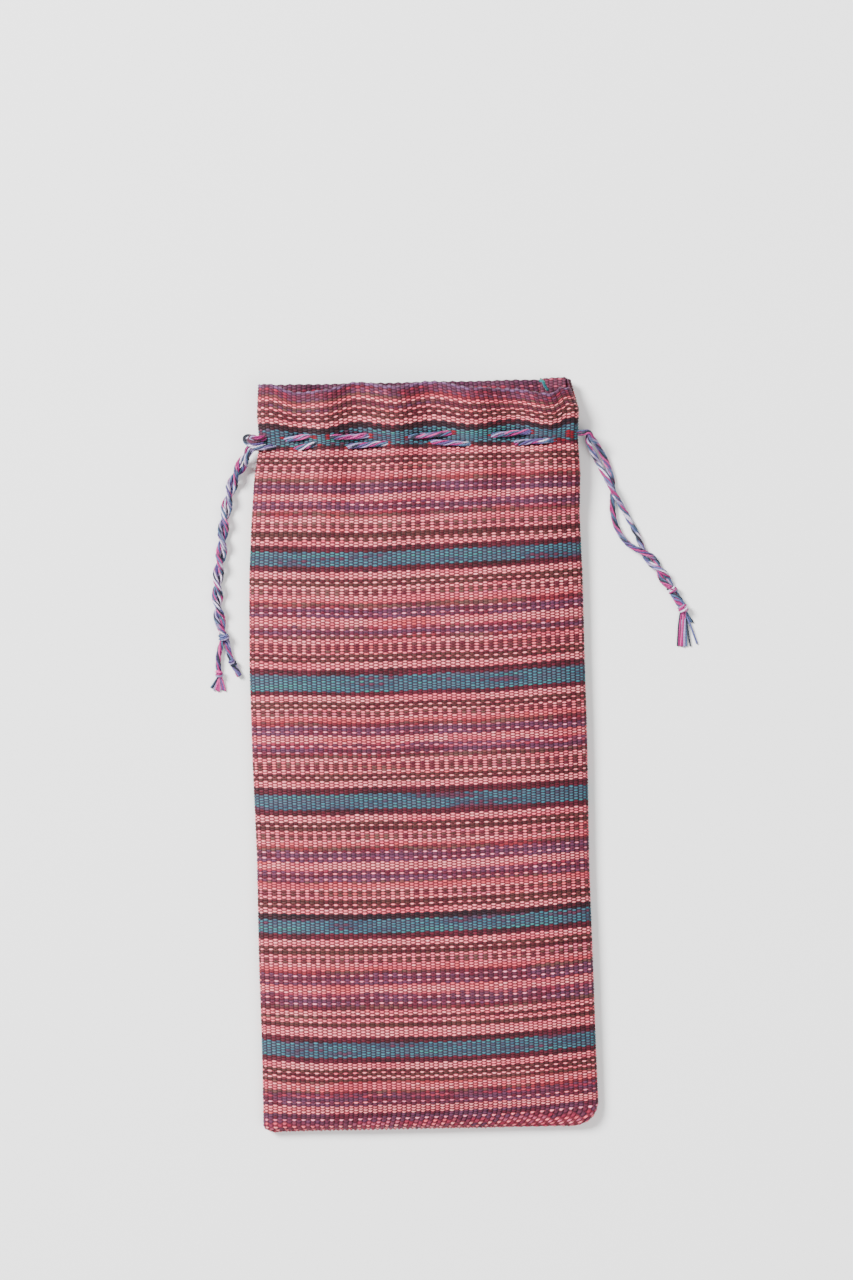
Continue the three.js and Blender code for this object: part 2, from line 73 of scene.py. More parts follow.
# Sections across the bag: y, left, right, edge, top, lift, gather
SECTIONS = np.array([
    (-112.75, 50.1, 51.4, 4.0, 4.0, 0.0, 0.0),
    (-104.0, 50.1, 51.4, 4.2, 7.0, 0.0, 0.0),
    (-90.0, 50.1, 51.0, 4.4, 8.7, 0.0, 0.0),
    (-60.0, 50.3, 50.5, 4.5, 9.4, 0.0, 0.0),
    (-30.0, 50.3, 50.2, 4.5, 9.5, 0.0, 0.0),
    (0.0, 51.1, 50.3, 4.5, 9.5, 0.0, 0.0),
    (28.0, 51.4, 50.0, 4.5, 9.5, 0.0, 0.0),
    (54.0, 50.9, 49.9, 4.7, 9.5, 0.0, 0.0),
    (72.0, 49.8, 49.4, 5.0, 9.6, 0.3, 0.2),
    (84.0, 48.7, 49.8, 5.6, 9.9, 0.95, 0.65),
    (95.0, 46.8, 49.2, 6.2, 10.2, 1.5, 1.0),
    (104.0, 47.5, 49.7, 6.4, 10.5, 1.3, 1.1),
    (112.75, 47.0, 47.4, 6.6, 10.8, 0.95, 1.25),
])

# Gathers across each wall: x, how far the cloth stands out or in, and how far the front wall sags at its
# edge and just above the cords
FOLDS = np.array([
    (-44.5, 0.0, 0.0, 0.0),
    (-34.5, -1.0, 2.9, 1.0),
    (-27.5, 1.0, 2.6, 1.9),
    (-17.0, -1.0, 0.2, 0.0),
    (-5.5, 1.0, 1.9, 1.5),
    (5.0, -1.0, 0.4, 0.0),
    (18.0, 1.0, 2.7, 1.8),
    (29.5, -1.0, 3.2, 0.1),
    (41.0, 0.9, 4.8, 1.9),
    (48.2, 0.0, 0.0, 0.0),
])
OUT, SAG, LOW_SAG = 1, 2, 3

# Weave: threads lie across the bag, and the ribs run along it
RIBS = 72
INNER_STEP = 6  # the inner face, out of sight, has one cell for this many of the outer face's
LINING_THREADS = 31  # threads of the inner face that show in the mouth
DYE_SPECKLE = 0.09  # how far the colour of one float strays from the next

# Heights at the left edge, the middle and the right edge of the last pale line and of each teal stripe
STRIPE_HEIGHTS = [
    (-108.4, -108.9, -106.3),
    (-86.65, -87.75, -85.95),
    (-50.45, -50.65, -48.75),
    (-12.95, -13.45, -12.45),
    (22.45, 21.65, 23.55),
    (60.55, 59.45, 61.45),
    (96.3, 96.1, 96.6),
]

# The kind of each thread, from the mouth to the closed end. Each line after the first starts at the middle
# of a teal stripe, or at the last pale line, and the weaver counted a little differently every time.
STRIPE_CHART = [
    "UUUVUVURRCPPOOUOPpBBDBBPPPPNNNNTTTTTT",
    "TTTTTTNMMPPPPPBBDBBpPOpOPPPCCRRRWUUUWUUUKKKKKLUWUUUWLRRRpPPPPOpOppPBBBBDBPPPPMMMMTTTTT",
    "TTTTTMMMMPPPPPBBDBBPPPOPOpPPPCCRRRWUUUWUUKKKKKKLRWUUUWROPPPPOpOpOPpBBDBBPPPPPMMMMtTTTTTT",
    "TTTTTMMMPPPPPBBDBBPPOpOPPCCCRRRWUUUWUUKKKKKKLUWLUUUWROOPPPPOpOpOPPpBBDBBPPPPPMMMMMTTTTTT",
    "TTTTTMMMMPPPPPBBDBBBPppOpOPPPCCRRRUWUUUWUUKKKKKKLUWUUUWURCCCCPPBpOppPBBBDBBPPPPNNNNTTTTT",
    "TTTTTMMMMPPPPPBBDBBBpPpOpOPpPCCCRRUWUUUWUUCKKKKKLLUWUUUWURROpPPPBOppPBBBpPPPPPPMMMMTTTTT",
    "TTTTTTMMMMPPPPPBBDBBPPOBRpPPCPCRRULVUUUWUUKKKKKKUUUU",
    "WULVPVPLP",
]
THREADS = sum(map(len, STRIPE_CHART))

# The dyes along each kind of thread in the chart, which run into each other
THREAD_DYES = {
    "T": "plum teal_deep teal teal_grey teal teal_green",
    "t": "teal_grey plum teal wine",
    "M": "maroon_dark maroon wine maroon_dark",
    # N: the darkest maroon threads, beside some teal stripes; their ink dye is partly painted shade, for
    # the fold just above the drawstrings, and it darkens the other N threads too
    "N": "ink maroon_dark ink maroon",
    "P": "rose pale_pink cream_pink pale_pink",
    "p": "lilac_pink pale_pink coral",
    "B": "brown maroon brown brown",
    "D": "pale_pink cream_pink rose",
    "O": "olive brown wine olive",
    "C": "coral rose coral pale_pink",
    "R": "red wine olive red",
    "W": "lilac_white lilac_pink lilac_white pale_pink",
    "U": "plum violet wine plum",
    "V": "lilac_pink plum crimson violet",
    "L": "lilac_pink crimson plum rose",
    "K": "coral pale_pink cream_pink rose",
}

# Seam allowance that shows inside the mouth's right end
SEAM_X = 42.2
SEAM_RIBS = 6
SEAM_WIDTH = 8.0
SEAM_LENGTH = 13.6
SEAM_END_Y = 113.3
SEAM_GAP = 0.3  # between the back wall and the allowance
SEWING_END = [
    (37.9, 111.9, 7.2), (38.35, 112.2, 7.6), (38.85, 111.8, 7.6), (39.2, 110.9, 7.2), (39.8, 110.1, 6.6),
    (40.4, 109.3, 5.8),
]

# Where weft shows at the right edge: x, y
SEAM_WEFT = [(44.2, 95.4), (44.4, 94.6), (47.0, 96.3), (47.2, 95.5)]
WEFT_PAST, WEFT_BELOW = 0.8, 0.2  # from a stitch's ends to the weft that shows there

# Drawstrings, close to the solid model
CORD = 1.6
WALL = 1.2
CORD_CLEAR = 1.55  # from the middle of a wall to a cord that lies on it
CORD_SLACK = 0.06  # how far the loose threads stand out past the cord's radius
OVERLAP = 0.6  # each end starts inside its threaded stretch
LEAD = 1.3  # and runs this far straight out of it
PASS = 2.2  # length in which a cord comes from the middle of a wall to either side of it
LONG_STITCH = 4 * PASS

# Stitches of each row: where they start and end, and how far they rise from start to end
LEFT_ROW_Y = 93.8
LEFT_STITCHES = [(-35.7, -29.7, 1.1), (-20.1, -8.4, 0.8), (5.6, 16.1, -1.0), (30.6, 41.0, 0.4)]
RIGHT_ROW_Y = 96.4
RIGHT_STITCHES = [(-38.6, -31.6, 0.6), (-24.8, -14.0, 0.3), (-1.4, 10.3, 0.9), (23.2, 34.6, 0.9)]
BACK_STITCHES = [(-38.4, -31.6, 0.0), (-21.2, -12.8, 0.0), (0.8, 9.2, 0.0), (25.3, 33.7, 0.0)]
FRONT_ROWS = ((LEFT_ROW_Y, LEFT_STITCHES), (RIGHT_ROW_Y, RIGHT_STITCHES))
LEFT_LAST_PASS_X = -42.4
OVER_EDGE_DEGREES = (35, 62, 90)
TURN_X = 43.4  # where a cord turns to the other wall, inside the bag
EXIT_RUN = 1.8  # how far a threaded cord reaches out of its hole
LEFT_HOLE_Z = 3.8
RIGHT_HOLE_FRONT_Z = 5.6
RIGHT_HOLE_BACK_Z = 3.4
FLOOR_CLEAR = 0.05

# The small bight of the left drawstring that holds its two ends at the bag's edge: its outer strand, and
# the one tucked inside it
LEFT_BIGHT = [
    ("left_outer_bight", [
        (-43.6, 93.9, 7.4), (-45.6, 93.7, 8.5), (-48.2, 94.0, 8.1), (-49.9, 94.9, 7.2), (-51.0, 96.2, 6.6),
        (-50.8, 96.9, 6.7), (-49.9, 97.1, 7.2), (-48.8, 96.8, 7.8),
    ]),
    ("left_inner_bight", [
        (-45.6, 95.0, 7.8), (-47.2, 95.0, 8.8), (-48.8, 95.4, 8.9), (-49.6, 96.1, 8.5), (-48.9, 96.8, 8.6),
        (-47.4, 96.5, 8.9), (-46.2, 96.4, 8.6), (-44.8, 96.7, 7.4),
    ]),
]

# The two ends of a drawstring: a point midway between them, its lift off the table, how far each end
# lies from it, and the turns that the two have made round each other
LEFT_TAIL = np.array([
    (-50.8, 91.6, 2.2, 1.1, 0.3),
    (-52.6, 88.7, 1.0, 1.0, 0.52),
    (-54.3, 85.9, 0.3, 0.95, 0.78),
    (-55.7, 82.6, 0.0, 0.95, 1.04),
    (-56.9, 78.0, 0.0, 0.95, 1.38),
    (-57.8, 73.4, 0.0, 0.95, 1.72),
    (-58.5, 69.4, 0.0, 0.95, 2.02),
    (-58.9, 65.4, 0.0, 0.95, 2.32),
    (-59.4, 60.8, 0.0, 0.95, 2.66),
    (-60.2, 56.3, 0.0, 0.95, 3.0),
    (-60.6, 51.7, 0.0, 0.95, 3.34),
    (-60.6, 47.7, 0.0, 0.95, 3.64),
    (-60.2, 43.1, 0.0, 0.95, 3.98),
    (-59.4, 38.9, 0.0, 0.9, 4.25),
    (-58.9, 37.0, 0.3, 0.55, 4.4),
])
RIGHT_TAIL = np.array([
    (52.9, 94.2, 2.4, 1.1, 0.36),
    (55.0, 90.6, 1.0, 1.2, 0.48),
    (57.1, 86.3, 0.2, 1.15, 0.54),
    (58.7, 82.2, 0.0, 1.0, 0.62),
    (59.6, 78.6, 0.0, 0.95, 0.75),
    (60.4, 75.0, 0.0, 1.3, 0.92),
    (61.6, 71.0, 0.0, 2.0, 1.0),
    (63.2, 67.4, 0.0, 2.3, 1.0),
    (65.1, 64.2, 0.0, 2.0, 1.02),
    (66.9, 61.8, 0.0, 1.3, 1.1),
    (68.9, 59.6, 0.0, 0.95, 1.28),
    (71.0, 57.4, 0.0, 0.95, 1.5),
    (73.2, 54.5, 0.0, 0.95, 1.78),
    (75.0, 51.6, 0.0, 0.95, 2.03),
    (75.7, 50.5, 0.0, 0.9, 2.12),
    (76.9, 48.6, 0.2, 0.5, 2.25),
])

# Knots: node, x, y, heading in degrees, radius, and the dyes of the strand that is wound round the cords
KNOTS = [
    ("left_knot", -58.9, 37.0, -80, 1.7, "steel_blue charcoal lilac periwinkle"),
    ("left_end_knot_outer", -60.6, 25.9, -95, 1.2, "pink lilac magenta pink"),
    ("left_end_knot_inner", -56.4, 29.2, -65, 1.15, "steel_blue charcoal lilac violet_blue"),
    ("right_knot_upper", 76.9, 48.6, -59, 1.5, "charcoal lilac magenta white"),
    ("right_knot_lower", 80.0, 42.9, -65, 1.6, "lilac pink white magenta"),
]
KNOT_STRAND = 1.1
TUBE_SIDES = 6
CUT_END = 0.72  # thickness of a thread at its ends, as a share of the rest
LOWEST = 0.02

# Short single cords from knot to knot, or to a cut end: node, diameter, points on the table, dyes
SHORT_CORDS = [
    ("left_end_outer", 1.6,
     [(-58.9, 37.0), (-59.7, 35.2), (-60.3, 33.2), (-60.8, 30.2), (-60.7, 27.4), (-60.6, 25.9)],
     "magenta pink charcoal violet_blue magenta steel_blue"),
    ("left_end_inner", 1.6,
     [(-58.9, 37.0), (-57.9, 35.2), (-57.7, 33.6), (-57.3, 31.8), (-56.95, 30.6), (-56.4, 29.2)],
     "violet_blue magenta periwinkle charcoal violet_blue lilac"),
    ("left_stub", 1.6, [(-56.4, 29.2), (-55.85, 27.9), (-55.3, 26.9), (-54.4, 25.2)],
     "violet_blue periwinkle magenta violet_blue lilac charcoal"),
    ("right_neck", 2.4, [(76.9, 48.6), (77.7, 47.2), (78.3, 46.0), (79.3, 44.4), (80.0, 42.9)],
     "steel_blue periwinkle magenta steel_blue violet_blue lilac steel_blue charcoal"),
]

# Tassel locks: node, head x and y, and for each lock its tip and the dyes of its threads
TASSELS = [
    ("left_tassel", (-60.6, 25.6), [
        ((-63.1, 21.5), "steel_blue charcoal"),
        ((-61.9, 20.9), "lilac pink magenta"),
        ((-60.7, 20.8), "magenta pink lilac"),
        ((-59.3, 20.9), "magenta violet_blue pink"),
    ]),
    ("right_tassel", (80.2, 42.6), [
        ((79.0, 36.6), "charcoal lilac"),
        ((79.3, 31.4), "charcoal magenta pink magenta pink lilac"),
        ((80.6, 31.2), "lilac periwinkle steel_blue"),
        ((82.1, 31.2), "charcoal"),
        ((84.2, 31.8), "periwinkle"),
        ((82.3, 38.4), "steel_blue steel_blue periwinkle steel_blue charcoal"),
    ]),
]

# Dyes of the six threads in each drawstring, in order round it
STRAND_DYES = {
    "left_front": "charcoal steel_blue lilac magenta violet_blue white",
    "left_back": "magenta steel_blue white charcoal pink periwinkle",
    "left_outer_bight": "charcoal white steel_blue charcoal white lilac",
    "left_inner_bight": "magenta plum magenta plum lilac violet_blue",
    "right_front": "magenta violet_blue pink lilac steel_blue charcoal",
    "right_back": "steel_blue white magenta periwinkle lilac charcoal",
}

# The spans that a smooth curve blends over, level by level
CURVE_LEVELS = (((0, 1), (1, 2), (2, 3)), ((0, 2), (1, 3)), ((1, 2),))
CURVE_STEPS = 12

# The camera looks straight down on this point, turned a little to the pouch
VIEW_CENTRE = (2.3, 34.95)
VIEW_TURN = math.radians(-1.186)
SUBJECT_Z = 8.0
TABLE_HALF = 2.0  # in metres, as the lights' places and sizes are
TABLE_Z = -0.05

# Lights: name, place, share of the key light's power, and size
LIGHTS = [("key", (-1.41, 1.1, 1.5), 1.0, 0.92), ("rim", (0.8, -0.6, 1.4), 0.13, 1.44)]

# Dyes of the cotton, as red, green and blue screen values
DYES = {
    "teal": (46, 112, 124), "teal_deep": (36, 72, 90), "teal_grey": (64, 84, 98),
    "teal_green": (40, 124, 116), "maroon": (78, 16, 30), "maroon_dark": (54, 17, 26),
    "wine": (92, 22, 41), "brown": (81, 40, 38), "olive": (99, 65, 59), "red": (136, 38, 49),
    "coral": (209, 74, 79), "rose": (223, 84, 104), "pale_pink": (252, 120, 133),
    "cream_pink": (255, 150, 154), "lilac_pink": (198, 90, 120), "lilac_white": (240, 146, 172),
    # The selvedge dye is the rim's own lilac, made paler partly as a painted highlight on the front's lit
    # edge
    "plum": (85, 41, 61), "violet": (95, 49, 76), "selvedge": (118, 82, 122), "weft": (132, 14, 34),
    "crimson": (152, 34, 62), "magenta": (158, 38, 110), "pink": (198, 72, 142),
    "lilac": (148, 132, 176), "periwinkle": (84, 88, 140), "violet_blue": (82, 66, 120),
    "steel_blue": (68, 90, 122), "white": (216, 202, 228), "charcoal": (38, 42, 54),
    # ink is dark partly as painted shade, for the N threads by the drawstrings
    "ink": (34, 16, 27),
}


def dye(name, colour):
    label = name.replace("_", " ")
    return FloatVectorProperty(
        name=label.capitalize(), description=f"Colour of the {label} cotton", size=3,
        default=[value / 255 for value in colour], min=0.0, max=1.0, subtype="COLOR_GAMMA",
    )


def number(label, description, default, **kind):
    return FloatProperty(name=label, description=description, default=default, min=0.0, **kind)


def length(label, description, default):
    return number(label, description, default * MM, unit="LENGTH", precision=5)


def factor(label, description, default, highest):
    return number(label, description, default, max=highest, subtype="FACTOR")


class PouchDyes(bpy.types.PropertyGroup):
    """Colours of the cotton, in the cloth and in the cords"""

    __annotations__ = {name: dye(name, colour) for name, colour in DYES.items()}


class PouchCloth(bpy.types.PropertyGroup):
    """Sizes of the woven cloth"""

    thickness: length("Thickness", "Thickness of the cloth at a rib", 1.0)
    rib_depth: length("Rib depth", "How far the cloth dips between two ribs", 0.42)
    float_rise: length("Float rise", "How far each thread rises where it crosses a rib", 0.2)
    wander: length("Wander", "How far the hand-woven threads stray from straight", 0.1)
    # Painted shade: how far the gaps between threads are drawn darker, with the darkened red weft mixed in
    crevice: factor("Crevice", "How strongly the red weft darkens the gaps between threads", 1.0, 1.0)


class PouchCords(bpy.types.PropertyGroup):
    """Sizes of the twisted cords"""

    thread: length("Thread", "Diameter of one thread of a cord", 0.55)
    twist: length("Twist", "Length in which a cord's threads make one turn", 10.5)
    looseness: factor("Looseness", "How unevenly a cord's threads lie round it", 0.16, 0.5)


class PouchStage(bpy.types.PropertyGroup):
    """Light and camera"""

    camera_height: length("Camera height", "Height of the camera above the pouch", 907.0)
    lens: number("Lens", "Focal length in millimetres", 85.0, subtype="DISTANCE_CAMERA", unit="CAMERA")
    key: number("Key light", "Power of the soft light at the upper left", 176.0, unit="POWER")
    fill: factor("Fill light", "Strength of the light all round", 0.5, 2.0)


# Shapes of the cloth

def smooth_share(value, start, end):
    share = np.clip((value - start) / (end - start), 0.0, 1.0)
    return share * share * (3.0 - 2.0 * share)


def fold_at(x, column):
    """A column of the gathers at x, in even waves"""
    last = len(FOLDS) - 1
    place = np.interp(x, FOLDS[:, 0], np.arange(last + 1))
    low = np.minimum(place.astype(int), last - 1)
    ease = (1.0 - np.cos(np.pi * (place - low))) / 2.0
    return FOLDS[low, column] * (1.0 - ease) + FOLDS[low + 1, column] * ease


def section_at(y):
    return [np.interp(y, SECTIONS[:, 0], column) for column in SECTIONS.T[1:]]


def stitch_rise(stitch, x):
    """How far a slanting stitch lies above its row at x"""
    start, end, rise = stitch
    return rise * np.clip((x - start) / (end - start) - 0.5, -0.5, 0.5)


def groove_share(x, y):
    """How far each stitch of the front wall has sunk in, from 0 to 1"""
    share = 0.0
    for row_y, stitches in FRONT_ROWS:
        for stitch in stitches:
            start, end = stitch[:2]
            near = np.exp(-((y - row_y - stitch_rise(stitch, x)) / GROOVE_REACH) ** 2)
            under = smooth_share(x, start - 0.5, start + PASS) * smooth_share(x, end + 0.5, end - PASS)
            share = share + near * under
    return share


def walls_at(x, y):
    """Heights of the outer faces of the front and back walls"""
    x, y = np.asarray(x, float), np.asarray(y, float)
    left, right, edge, top, lift, gather = section_at(y)
    half = (left + right - edge) / 2.0
    across = np.clip((x - (right - left) / 2.0) / half, -1.0, 1.0)
    side = lift + edge
    free = 1.0 - across ** WAVE_POWER
    wave = gather * fold_at(x, OUT) * free
    crown = (top - side) * (1.0 - np.abs(across) ** CROWN_POWER)
    pressed = np.exp(-((y - DENT_Y) / DENT_REACH) ** 2) * free
    dent = DENT * pressed * (0.7 - 0.3 * fold_at(x, OUT)) + GROOVE * groove_share(x, y)
    return side + crown + FRONT_GATHER * wave - dent, lift - BACK_GATHER * wave


def corner_inset(radius, height):
    drop = np.maximum(radius - height, 0.0)
    return radius - np.sqrt(np.maximum(radius ** 2 - drop ** 2, 0.0))


def wall_points(is_front, across, along):
    """Points on a wall's outer face. across goes from 0 at the left fold to 1 at the right seam, and
    along is the length of cloth from the closed end."""
    quarter = CLOSING * math.pi / 2.0
    closing = np.clip((quarter - along) / CLOSING, 0.0, FULLY_CLOSED)
    y = BOTTOM_Y + CLOSING * (1.0 - np.sin(closing)) + np.maximum(along - quarter, 0.0)
    left, right, edge, _, lift, _ = section_at(y)
    edge_round = edge / 2.0
    left_x = -left + edge_round + corner_inset(LEFT_CORNER, y - BOTTOM_Y)
    right_x = right - edge_round - corner_inset(RIGHT_CORNER, y - BOTTOM_Y)
    side_run = edge_round * math.pi / 2.0
    total = right_x - left_x + 2.0 * side_run
    run = across * total
    x = np.clip(left_x + run - side_run, left_x, right_x)
    left_turn = np.clip(1.0 - run / side_run, 0.0, 1.0)
    right_turn = np.clip(1.0 - (total - run) / side_run, 0.0, 1.0)
    turn = (left_turn + right_turn) * math.pi / 2.0
    beyond = edge_round * np.sin(turn) * np.sign(right_turn - left_turn)
    if is_front:
        low = fold_at(x, LOW_SAG) * smooth_share(y, SAG_START_Y, LOW_SAG_Y)
        high = (fold_at(x, SAG) - fold_at(x, LOW_SAG)) * smooth_share(y, LOW_SAG_Y - SAG_OVERLAP, MOUTH_Y)
        y = y - low - high
    face = walls_at(x, y)[0 if is_front else 1]
    middle = lift + edge_round
    height = (face - middle) * np.cos(turn) * np.cos(closing)
    return np.stack([x + beyond * np.cos(closing), y, middle + height], axis=-1)


def cloth_length(y):
    """Length of cloth from the closed end up to a height on the flat of the bag"""
    return y - BOTTOM_Y - CLOSING + CLOSING * math.pi / 2.0


def thread_rows(across):
    """Length of cloth from the closed end to each thread, at each column: the stripes wander"""
    numbers = [0]
    heights = [np.zeros_like(across)]
    side = 2.0 * across - 1.0
    for threads, (left, middle, right) in zip(STRIPE_CHART[::-1], STRIPE_HEIGHTS):
        numbers.append(numbers[-1] + len(threads))
        bow = (left + right) / 2.0 - middle
        heights.append(cloth_length(middle + (right - left) / 2.0 * side + bow * side ** 2))
    numbers.append(THREADS)
    heights.append(np.full_like(across, cloth_length(MOUTH_Y)))
    rows = np.arange(THREADS + 1)
    return np.stack([np.interp(rows, numbers, column) for column in np.array(heights).T], axis=1)


def soft_noise(rng, shape, row_step, column_step):
    """Smooth random values from -1 to 1 over a grid, with one value for each step"""
    rows, columns = np.arange(shape[0]) / row_step, np.arange(shape[1]) / column_step
    coarse = rng.uniform(-1.0, 1.0, (int(rows[-1]) + 2, int(columns[-1]) + 2))
    row, column = rows.astype(int), columns.astype(int)
    down = smooth_share(rows - row, 0.0, 1.0)[:, None]
    right = smooth_share(columns - column, 0.0, 1.0)[None, :]
    upper = coarse[row][:, column] * (1.0 - right) + coarse[row][:, column + 1] * right
    lower = coarse[row + 1][:, column] * (1.0 - right) + coarse[row + 1][:, column + 1] * right
    return upper * (1.0 - down) + lower * down


def face_normals(points):
    normals = np.cross(np.gradient(points, axis=1), np.gradient(points, axis=0))
    return normals / np.linalg.norm(normals, axis=-1, keepdims=True)


# Colours of the cloth

def tones(names):
    """The dyes with these names, from screen values to the values that light needs"""
    dyes = bpy.context.scene.pouch_dyes
    colours = np.array([getattr(dyes, name)[:] for name in names.split()], float)
    return np.where(colours <= 0.04045, colours / 12.92, ((colours + 0.055) / 1.055) ** 2.4)


def float_colours(rng):
    """Colour of every place where a thread shows on a rib: the dyes run along the threads"""
    shape = (THREADS + 1, RIBS)
    drift = soft_noise(rng, shape, 2.2, 9.0) * 0.7 + soft_noise(rng, shape, 1.0, 6.0) * 0.4
    place = np.clip(drift * 0.75 + 0.5, 0.0, 1.0)
    colours = np.zeros(shape + (3,))
    downward = "".join(STRIPE_CHART)
    for k in range(THREADS + 1):
        tints = tones(THREAD_DYES[downward[min(THREADS - k, THREADS - 1)]])
        steps = np.arange(len(tints))
        for channel in range(3):
            colours[k, :, channel] = np.interp(place[k] * steps[-1], steps, tints[:, channel])
    colours *= 1.0 + DYE_SPECKLE * rng.standard_normal(shape)[..., None]
    return np.clip(colours, 0.0, 1.0)


def show_weft(yarn, points, rng):
    """Bright weft where a cord has pushed the threads apart"""
    places = list(SEAM_WEFT)
    for row_y, stitches in FRONT_ROWS:
        for start, end, rise in stitches:
            y = row_y - WEFT_BELOW
            places += [(start - WEFT_PAST, y - rise / 2), (end + WEFT_PAST, y + rise / 2)]
    for x, y in places:
        near = np.abs(points[..., 0] - x) < rng.uniform(0.7, 1.1)
        near &= np.abs(points[..., 1] - y) < rng.uniform(0.4, 0.8)
        near &= rng.uniform(size=near.shape) < 0.8
        yarn[near] = tones("weft") * rng.uniform(0.6, 1.0, (near.sum(), 1))


def lay_floats(yarn, threads):
    """Colours of the cells between rows of threads: of the float on each cell, and of the one beside it"""
    half = np.arange(2 * yarn.shape[1])[None, :]
    rib = half // 2
    near, after = threads[:-1, None], threads[1:, None]
    shown = np.where((rib + near) % 2 == 0, near, after)
    rib_beside = np.clip(rib + 2 * (half % 2) - 1, 0, yarn.shape[1] - 1)
    beside = yarn[near + after - shown, rib_beside]
    return yarn[shown, rib].reshape(-1, 3), beside.reshape(-1, 3)


# Meshes

def grid_faces(at):
    """Four-cornered faces between the rows of a grid of point numbers"""
    return np.stack([at[:-1, :-1], at[:-1, 1:], at[1:, 1:], at[1:, :-1]], axis=-1).reshape(-1, 4)


def add_piece(name, points, faces, material, slot, *nodes):
    """A new piece that rides the part and takes the place of its nodes"""
    mesh = bpy.data.meshes.new(name)
    mesh.from_pydata((np.asarray(points) * MM).tolist(), [], faces)
    mesh.update()
    mesh.polygons.foreach_set("use_smooth", np.ones(len(mesh.polygons), bool))
    mesh.materials.append(material)
    piece = bpy.data.objects.new(name, mesh)
    bpy.context.scene.collection.objects.link(piece)
    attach(piece, "root")
    if nodes:
        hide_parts(*nodes)
    return piece


def set_colours(piece, name, colours, domain):
    values = np.ones((len(colours), 4))
    values[:, :3] = colours
    layer = piece.data.attributes.new(name, "FLOAT_COLOR", domain)
    layer.data.foreach_set("color", values.ravel().astype(np.float32))


def set_vectors(piece, name, vectors):
    layer = piece.data.attributes.new(name, "FLOAT_VECTOR", "POINT")
    layer.data.foreach_set("vector", np.asarray(vectors, np.float32).ravel())


def add_cloth(name, node, points, faces, floats, plain, weave):
    """A new piece of cloth: the colours of its floats, then those of its plain faces"""
    piece = add_piece(name, points, faces, shared(woven_cotton), "cloth", node)
    for layer, colours in zip(("yarn", "beside"), floats):
        set_colours(piece, layer, np.vstack([colours, plain]), "FACE")
    set_vectors(piece, "weave", weave)
    return piece


def weave_wall(name, is_front, cloth):
    """One wall of the bag, woven thread by thread on its outer face and round the mouth's edge"""
    rng = np.random.default_rng(SEED + (0 if is_front else 1))
    columns = 2 * RIBS
    column = np.arange(columns + 1)
    thread = np.arange(THREADS + 1)
    shape = (THREADS + 1, columns + 1)
    inside = np.sin(np.pi * column / columns) ** 0.5
    wander = cloth.wander / MM
    across = column / columns + soft_noise(rng, shape, 25.0, 2.0) * wander / 100.0 * inside
    ends = np.minimum(thread, THREADS - thread)[:, None].clip(0, 6) / 6.0
    along = thread_rows(column / columns) + soft_noise(rng, shape, 2.0, 9.0) * wander * ends
    along = along + soft_noise(rng, shape, 34.0, 26.0) * 2.5 * wander * ends
    face = wall_points(is_front, across, along)
    outward = face_normals(face) * (1.0 if is_front else -1.0)

    on_top = (np.minimum(column // 2, RIBS - 1)[None, :] + thread[:, None]) % 2 == 0
    rise = cloth.float_rise / MM / 2.0
    relief = np.where(on_top, rise, -rise) * (1.0 + 0.25 * rng.standard_normal(shape))
    relief = np.where(column % 2 == 1, relief, -cloth.rib_depth / MM)
    relief = relief + 0.12 * soft_noise(rng, shape, 60.0, 24.0)
    outer = face + outward * relief[..., None]
    if not is_front:
        outer[..., 2] = np.maximum(outer[..., 2], 0.0)
    inner = face - outward * cloth.thickness / MM
    inner_relief = np.where(column % 2 == 1, 0.05, -0.15)
    lining_rows = np.arange(THREADS, THREADS - LINING_THREADS - 1, -1)
    lining = (inner - outward * inner_relief[None, :, None])[lining_rows]

    # The weft turns round the last thread, in a bead for every second rib
    upward = outer[-1] - outer[-4]
    upward /= np.linalg.norm(upward, axis=-1, keepdims=True)
    bead = 0.22 + 0.2 * np.sin(np.pi * column / 2.0) * rng.uniform(0.5, 1.3, columns + 1)
    lip = (outer[-1] + lining[0]) / 2.0 + upward * bead[:, None]

    fine = np.concatenate([outer, lip[None], lining])
    fine_thread = np.concatenate([thread, [THREADS + 1], lining_rows + 1])
    coarse_rows = np.arange(THREADS - LINING_THREADS, -1, -INNER_STEP)[1:]
    coarse_columns = np.arange(0, columns + 1, INNER_STEP)
    coarse = inner[coarse_rows][:, coarse_columns]
    points = np.concatenate([fine.reshape(-1, 3), coarse.reshape(-1, 3)])
    numbers = np.arange(len(points))
    fine_at = numbers[:fine.size // 3].reshape(fine.shape[:2])
    coarse_at = numbers[fine.size // 3:].reshape(coarse.shape[:2])

    yarn = float_colours(rng)
    # The front rim mixes the lilac selvedge dye with plum and the back rim only plum and violet: the
    # front's paler rim is partly a painted highlight on its lit edge
    rim, other = tones("selvedge plum" if is_front else "plum violet")
    mixed = rng.uniform(0.0, 1.0, (2, RIBS, 1))
    yarn[THREADS - 1:] = rim * mixed + other * (1.0 - mixed)
    if is_front:
        show_weft(yarn, face[:, 1::2], rng)
    floats = lay_floats(yarn, np.clip(fine_thread, 0, THREADS))
    hidden = inner_faces(fine_at, coarse_at)
    plain = np.tile(tones("maroon"), (len(hidden), 1))
    faces = grid_faces(fine_at).tolist() + hidden
    if not is_front:
        faces = [corners[::-1] for corners in faces]

    weave = np.zeros((len(points), 3))
    weave[fine_at, 0], weave[fine_at, 1] = column / 2.0, fine_thread[:, None]
    weave[coarse_at, 0], weave[coarse_at, 1] = coarse_columns / 2.0, coarse_rows[:, None]
    return add_cloth(name, "cloth_bag", points, faces, floats, plain, weave)


